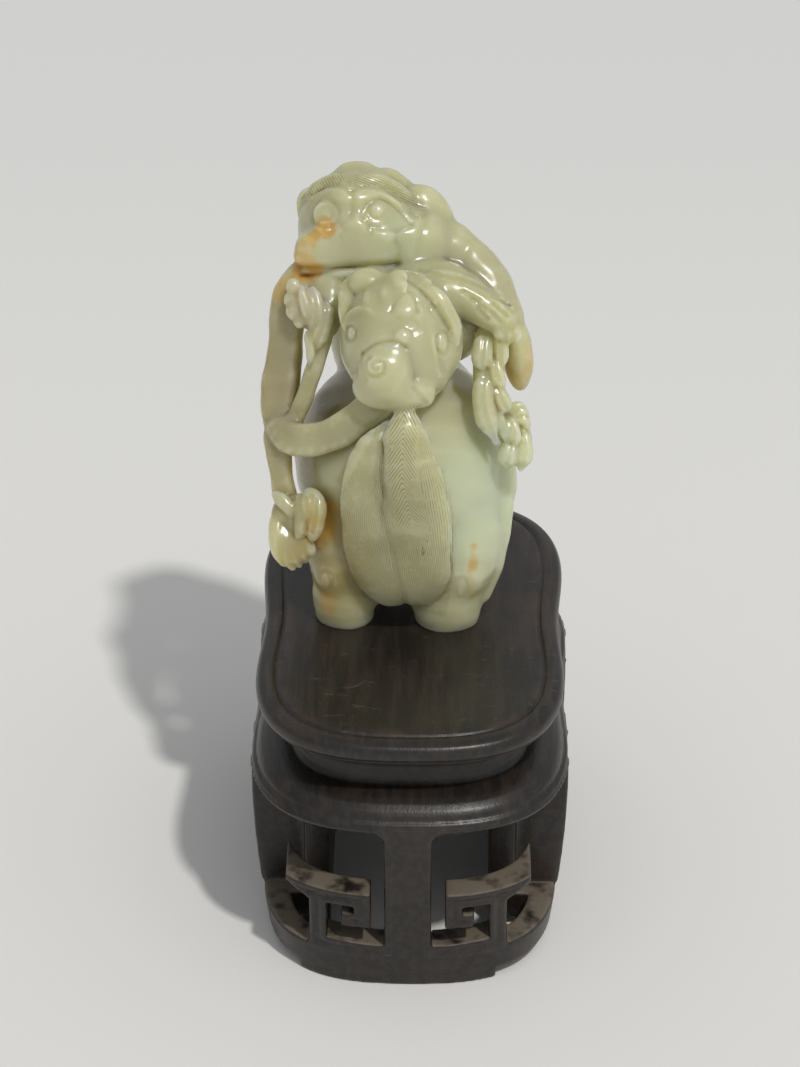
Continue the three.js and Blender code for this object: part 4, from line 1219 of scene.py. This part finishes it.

# %% [markdown]
# ### Polished jade
# The stone is pale grey-green and lets light in a few millimetres, so thin edges glow and grooves stay
# soft. A coat of gloss on plain colour would look like glazed clay, so the light really goes in, by
# constant subsurface. Cloudy noise moves the green a little. The colour changes with the place in the
# stone: the rump is bluer, and russet skin was left on purpose on the cheek, the haunch's cuff and the
# thigh. Painted shade darkens the left flank, the pup's left foreleg and the back behind the pup's head to
# olive. Hollows are darkened, partly by real dirt and wax and partly by painted shade, and ridges get a
# painted highlight.

# %% Jade finish
CELADON_DEEP = (0.45, 0.44, 0.25)
CELADON_PALE = (0.52, 0.51, 0.32)
RUSSET_SKIN = (0.55, 0.34, 0.075)
OLD_WAX_AND_SHADE = (0.22, 0.17, 0.06)
RIDGE_HIGHLIGHT = (0.70, 0.69, 0.54)
PALE_FLECK = (0.62, 0.61, 0.47)
FULL_TURN = 6.2832
jade_finish = Finish("jade")
hollow = jade_finish.kept("hollow")
hair = jade_finish.kept("hair_count")
hair_strength = jade_finish.kept("hair_strength")
cloud = jade_finish.noise(34, 4)
ragged = jade_finish.noise(190, 5, roughness=0.6)
fine = jade_finish.noise(900, 2)
celadon = jade_finish.blend(cloud.step(0.35, 0.65), CELADON_DEEP, CELADON_PALE)
# Tints by place. The darker olive tints on the left flank, the pup's left foreleg and the back behind the
# pup's head are painted shade.
for centre, radius, strength, wide, tint in (
    ([14, 0, 26], 19, 0.9, (1, 1, 1.2), (0.56, 0.61, 0.43)),
    ([-3.5, 22, 71], 9, 0.5, (1, 1, 1), (0.52, 0.56, 0.36)),
    # Painted shade: the left flank darker and olive.
    ([-30, 10, 40], 26, 0.9, (0.55, 1, 1.6), (0.34, 0.30, 0.18)),
    # Painted shade: the pup's left foreleg darker.
    ([-14, 0, 41], 9, 0.7, (1.3, 1, 0.8), (0.36, 0.33, 0.20)),
    ([14, 20, 62], 13, 0.6, (1, 1.2, 0.9), (0.42, 0.40, 0.26)),
    ([-16, -4, 14], 15, 0.8, (1, 1, 1.3), (0.33, 0.26, 0.09)),
    # Painted shade: the back behind the pup's head darker.
    ([-17, 14, 50], 11, 0.5, (1, 1, 1), (0.42, 0.38, 0.23)),
    # Painted shade: the deep olive back between the pup's head and foreleg.
    ([-16, 15, 40], 14, 0.95, (1, 1.2, 0.9), (0.20, 0.16, 0.055)),
    ([-20, 14, 62], 5, 0.5, (1, 1, 1.2), (0.56, 0.48, 0.38)),
):
    celadon = jade_finish.blend(jade_finish.near(centre, radius, cloud, wide) * strength, celadon, tint)
russet = None
for centre, radius, strength, wide in (
    (seen(-20.6, 68.4, 16.5), 5.6, 1.0, (1, 1, 0.9)),
    (seen(-17.2, 74.2, 18.6), 3.4, 0.95, (1, 1, 1)),
    (seen(-19.6, 71.6, 18.0), 3.4, 0.8, (1, 1, 1)),
    ([-24.6, 20, 60], 4.8, 0.75, (1, 1, 1.3)),
    ([21, 18.5, 46.0], 7.5, 0.55, (1, 1.4, 1.3)),
    ([-18.6, -3, 22.5], 4.6, 1.0, (1, 1, 1.5)),
    ([-14.5, -2, 21], 4.0, 0.6, (0.7, 1.2, 2.2)),
    ([11.6, -4, 13], 3.4, 0.95, (0.6, 1.6, 2.6)),
    ([-17, -6, 6], 3.6, 0.55, (1, 1, 1.3)),
):
    spot = jade_finish.near(centre, radius, ragged, wide) * strength
    russet = spot if russet is None else russet + spot
russet = russet.limited()
colour = jade_finish.blend(russet.step(0.05, 0.9) * 0.9, celadon, RUSSET_SKIN)
lines = (hair * FULL_TURN).sine() * 0.5 + 0.5
line_cut = (lines.step(0.55, 1.0) * hair_strength * fine.step(0.25, 0.5)).limited()
pitted = jade_finish.near([2.8, -9, 20], 5.2, None, (0.42, 2, 1.2))
pits = jade_finish.noise(1500, 1, stretch=(1, 1, 0.3)).step(0.64, 0.70) * pitted
# Hollows are darkened toward olive: partly real dirt and wax, partly painted shade. The darkening in cut hair
# lines and pits is real dirt.
dirt_and_hollow_shade = (hollow.step(0.60, 0.95) * 0.5 + line_cut * 0.8 + pits * 0.7).limited()
colour = jade_finish.blend(dirt_and_hollow_shade, colour, OLD_WAX_AND_SHADE)
# Painted highlight: ridges are lightened toward a pale tint.
painted_ridge_highlight = (1 - hollow.step(0.15, 0.42)) * 0.4
colour = jade_finish.blend(painted_ridge_highlight, colour, RIDGE_HIGHLIGHT)
fleck = jade_finish.noise(420, 2).step(0.66, 0.74) * 0.2
colour = jade_finish.blend(fleck, colour, PALE_FLECK)
skin_pits = fine.step(0.70, 0.76) * russet
relief = jade_finish.noise(150, 3) * 0.5 - line_cut * 1.2 - pits - skin_pits * 0.5
jade_finish.set(Base_Color=colour, Roughness=(0.17 + ragged * 0.14 + dirt_and_hollow_shade * 0.25).limited(), IOR=1.6,
                Subsurface_Weight=1.0, Subsurface_Radius=(1.0, 0.88, 0.42), Subsurface_Scale=0.011,
                Normal=jade_finish.bump(relief, 0.5, 0.0002))
carving.data.materials.append(jade_finish.material)

# %% [markdown]
# ### Waxed hardwood
# The wood is nearly black with a red-brown ground. Wax and handling leave it glossy on top, scuffed where
# the carving was set down, worn to red on its arrises, and dusty on ledges that nobody wipes. Painting each
# mark by hand would tie them to one mesh, so each follows a cause instead: dust needs a low face that looks
# up, wear needs a ridge, scuffs need the height of the board.

# %% Wood finish
BLACK_GRAIN = (0.012, 0.010, 0.0085)
BROWN_GRAIN = (0.026, 0.019, 0.015)
RED_BROWN = (0.045, 0.030, 0.022)
WORN_RED = (0.085, 0.045, 0.030)
DUST = (0.16, 0.13, 0.095)
MM_IN_METRE = 1000
wood_finish = Finish("hardwood")
hollow = wood_finish.kept("hollow")
grain = wood_finish.noise(90, 5, stretch=(6, 0.7, 6), roughness=0.6)
pores = wood_finish.noise(700, 2, stretch=(4, 0.35, 4))
blotch = wood_finish.noise(45, 4)
dark = wood_finish.blend(grain.step(0.4, 0.65), BLACK_GRAIN, BROWN_GRAIN)
dark = wood_finish.blend(blotch.step(0.52, 0.7) * 0.45, dark, RED_BROWN)
height = wood_finish.node("ShaderNodeSeparateXYZ", {}, {0: wood_finish.place}, "Z") * MM_IN_METRE
normal = wood_finish.node("ShaderNodeNewGeometry", {}, {}, "Normal")
facing_up = wood_finish.node("ShaderNodeSeparateXYZ", {}, {0: normal}, "Z")
worn = (1 - hollow.step(0.12, 0.42)) * wood_finish.noise(160, 4).step(0.40, 0.62)
dark = wood_finish.blend(worn * 0.5, dark, WORN_RED)
ledge = facing_up.step(0.55, 0.9) * (1 - height.step(24, 26)) * wood_finish.noise(240, 5).step(0.30, 0.55)
groove_dust = hollow.step(0.62, 0.9) * wood_finish.noise(120, 4).step(0.4, 0.7)
on_board = height.step(55.2, 55.6)
scuff = wood_finish.noise(260, 6, stretch=(1, 2.5, 1), roughness=0.7).step(0.60, 0.72) * on_board
dusty = (ledge * 0.95 + scuff * 0.36 + groove_dust * 0.32).limited()
colour = wood_finish.blend(dusty, dark, DUST)
wood_finish.set(Base_Color=colour, Roughness=(0.27 + blotch * 0.18 + dusty * 0.4).limited(), IOR=1.5,
                Normal=wood_finish.bump(grain * 0.5 + pores * 0.4 + scuff * 0.3, 0.3, 0.0003))
board.data.materials.append(wood_finish.material)
stand_base.data.materials.append(wood_finish.material)

# %% [markdown]
# ## Floor, light and camera
# The group stands on a wide pale sheet in soft light from the front right; the sheet's far part is painted
# a little greyer, a painted shade. A mild sun gives the shadow at the left, and the room is brighter on the
# window's side and behind. The camera looks down at 30 degrees from 0.9 m with a long lens.

# %% Stage
FLOOR_REACH = 6000
NEAR_PAPER = (0.80, 0.79, 0.77)
FAR_PAPER_SHADE = (0.72, 0.72, 0.71)
points = np.array([[x, y, 0.0] for y in (-FLOOR_REACH, FLOOR_REACH) for x in (-FLOOR_REACH, FLOOR_REACH)])
floor = mesh_piece("pale_floor", points, np.array([[0, 1, 3, 2]]))
paper = Finish("paper")
# Painted shade: the paper turns greyer far behind.
far_back_shade = paper.node("ShaderNodeSeparateXYZ", {}, {0: paper.place}, "Y").step(0.05, 0.45)
paper.set(Base_Color=paper.blend(far_back_shade, NEAR_PAPER, FAR_PAPER_SHADE), Roughness=0.9)
floor.data.materials.append(paper.material)

# %% Light
view = bpy.context.scene.view_settings
view.view_transform = "Standard"
WINDOW_SIDE = Vector((0.5, -0.75, 0.43)).normalized()
FAR_SIDE_LIGHT = (0.10, 0.105, 0.11)
WINDOW_SIDE_LIGHT = (0.60, 0.61, 0.62)
BEHIND = Vector((0, 0.95, 0.3))
BEHIND_LIGHT = (0.42, 0.43, 0.44)
SUN_STRENGTH = 1.55
SUN_WIDTH = math.radians(3)
SUN_COLOUR = (1.0, 0.985, 0.94)
SUN_WAY = Vector((-0.29, 0.457, -0.84))
world = bpy.data.worlds.new("soft_room")
world.use_nodes = True
room = Wiring(world.node_tree)
direction = room.node("ShaderNodeTexCoord", {}, {}, "Generated")


def facing(way, start, end):
    """0 in directions that turn from a way, 1 in those that face it."""
    along = room.node("ShaderNodeVectorMath", {"operation": "DOT_PRODUCT"}, {0: direction, 1: way}, "Value")
    return room.node("ShaderNodeMapRange", {}, {"Value": along, "From Min": start, "From Max": end})


sky = room.blend(facing(WINDOW_SIDE, -1, 1), FAR_SIDE_LIGHT, WINDOW_SIDE_LIGHT)
sky = room.blend(facing(BEHIND, 0.2, 0.6), sky, BEHIND_LIGHT)
room.feed(world.node_tree.nodes["Background"].inputs["Color"], sky)
bpy.context.scene.world = world
sun = bpy.data.lights.new("window_light", "SUN")
sun.energy = SUN_STRENGTH
sun.angle = SUN_WIDTH
sun.color = SUN_COLOUR
sun_piece = bpy.data.objects.new("window_light", sun)
sun_piece.rotation_euler = SUN_WAY.to_track_quat("-Z", "Y").to_euler()
bpy.context.scene.collection.objects.link(sun_piece)

# %% Camera
CAMERA_TARGET = Vector((-2.45, 8.7, 69.4)) * MM
CAMERA_DISTANCE = 0.9
CAMERA_RISE = math.radians(30)
CAMERA_TURN = math.radians(1)
LENS = 154.25
SENSOR_WIDTH = 36
toward = Vector((math.sin(CAMERA_TURN) * math.cos(CAMERA_RISE),
                 -math.cos(CAMERA_TURN) * math.cos(CAMERA_RISE), math.sin(CAMERA_RISE)))
lens = bpy.data.cameras.new("camera")
lens.lens = LENS
lens.sensor_width = SENSOR_WIDTH
lens.clip_start = 0.01
camera = bpy.data.objects.new("camera", lens)
camera.location = CAMERA_TARGET + toward * CAMERA_DISTANCE
camera.rotation_euler = (CAMERA_TARGET - camera.location).to_track_quat("-Z", "Y").to_euler()
bpy.context.scene.collection.objects.link(camera)
bpy.context.scene.camera = camera
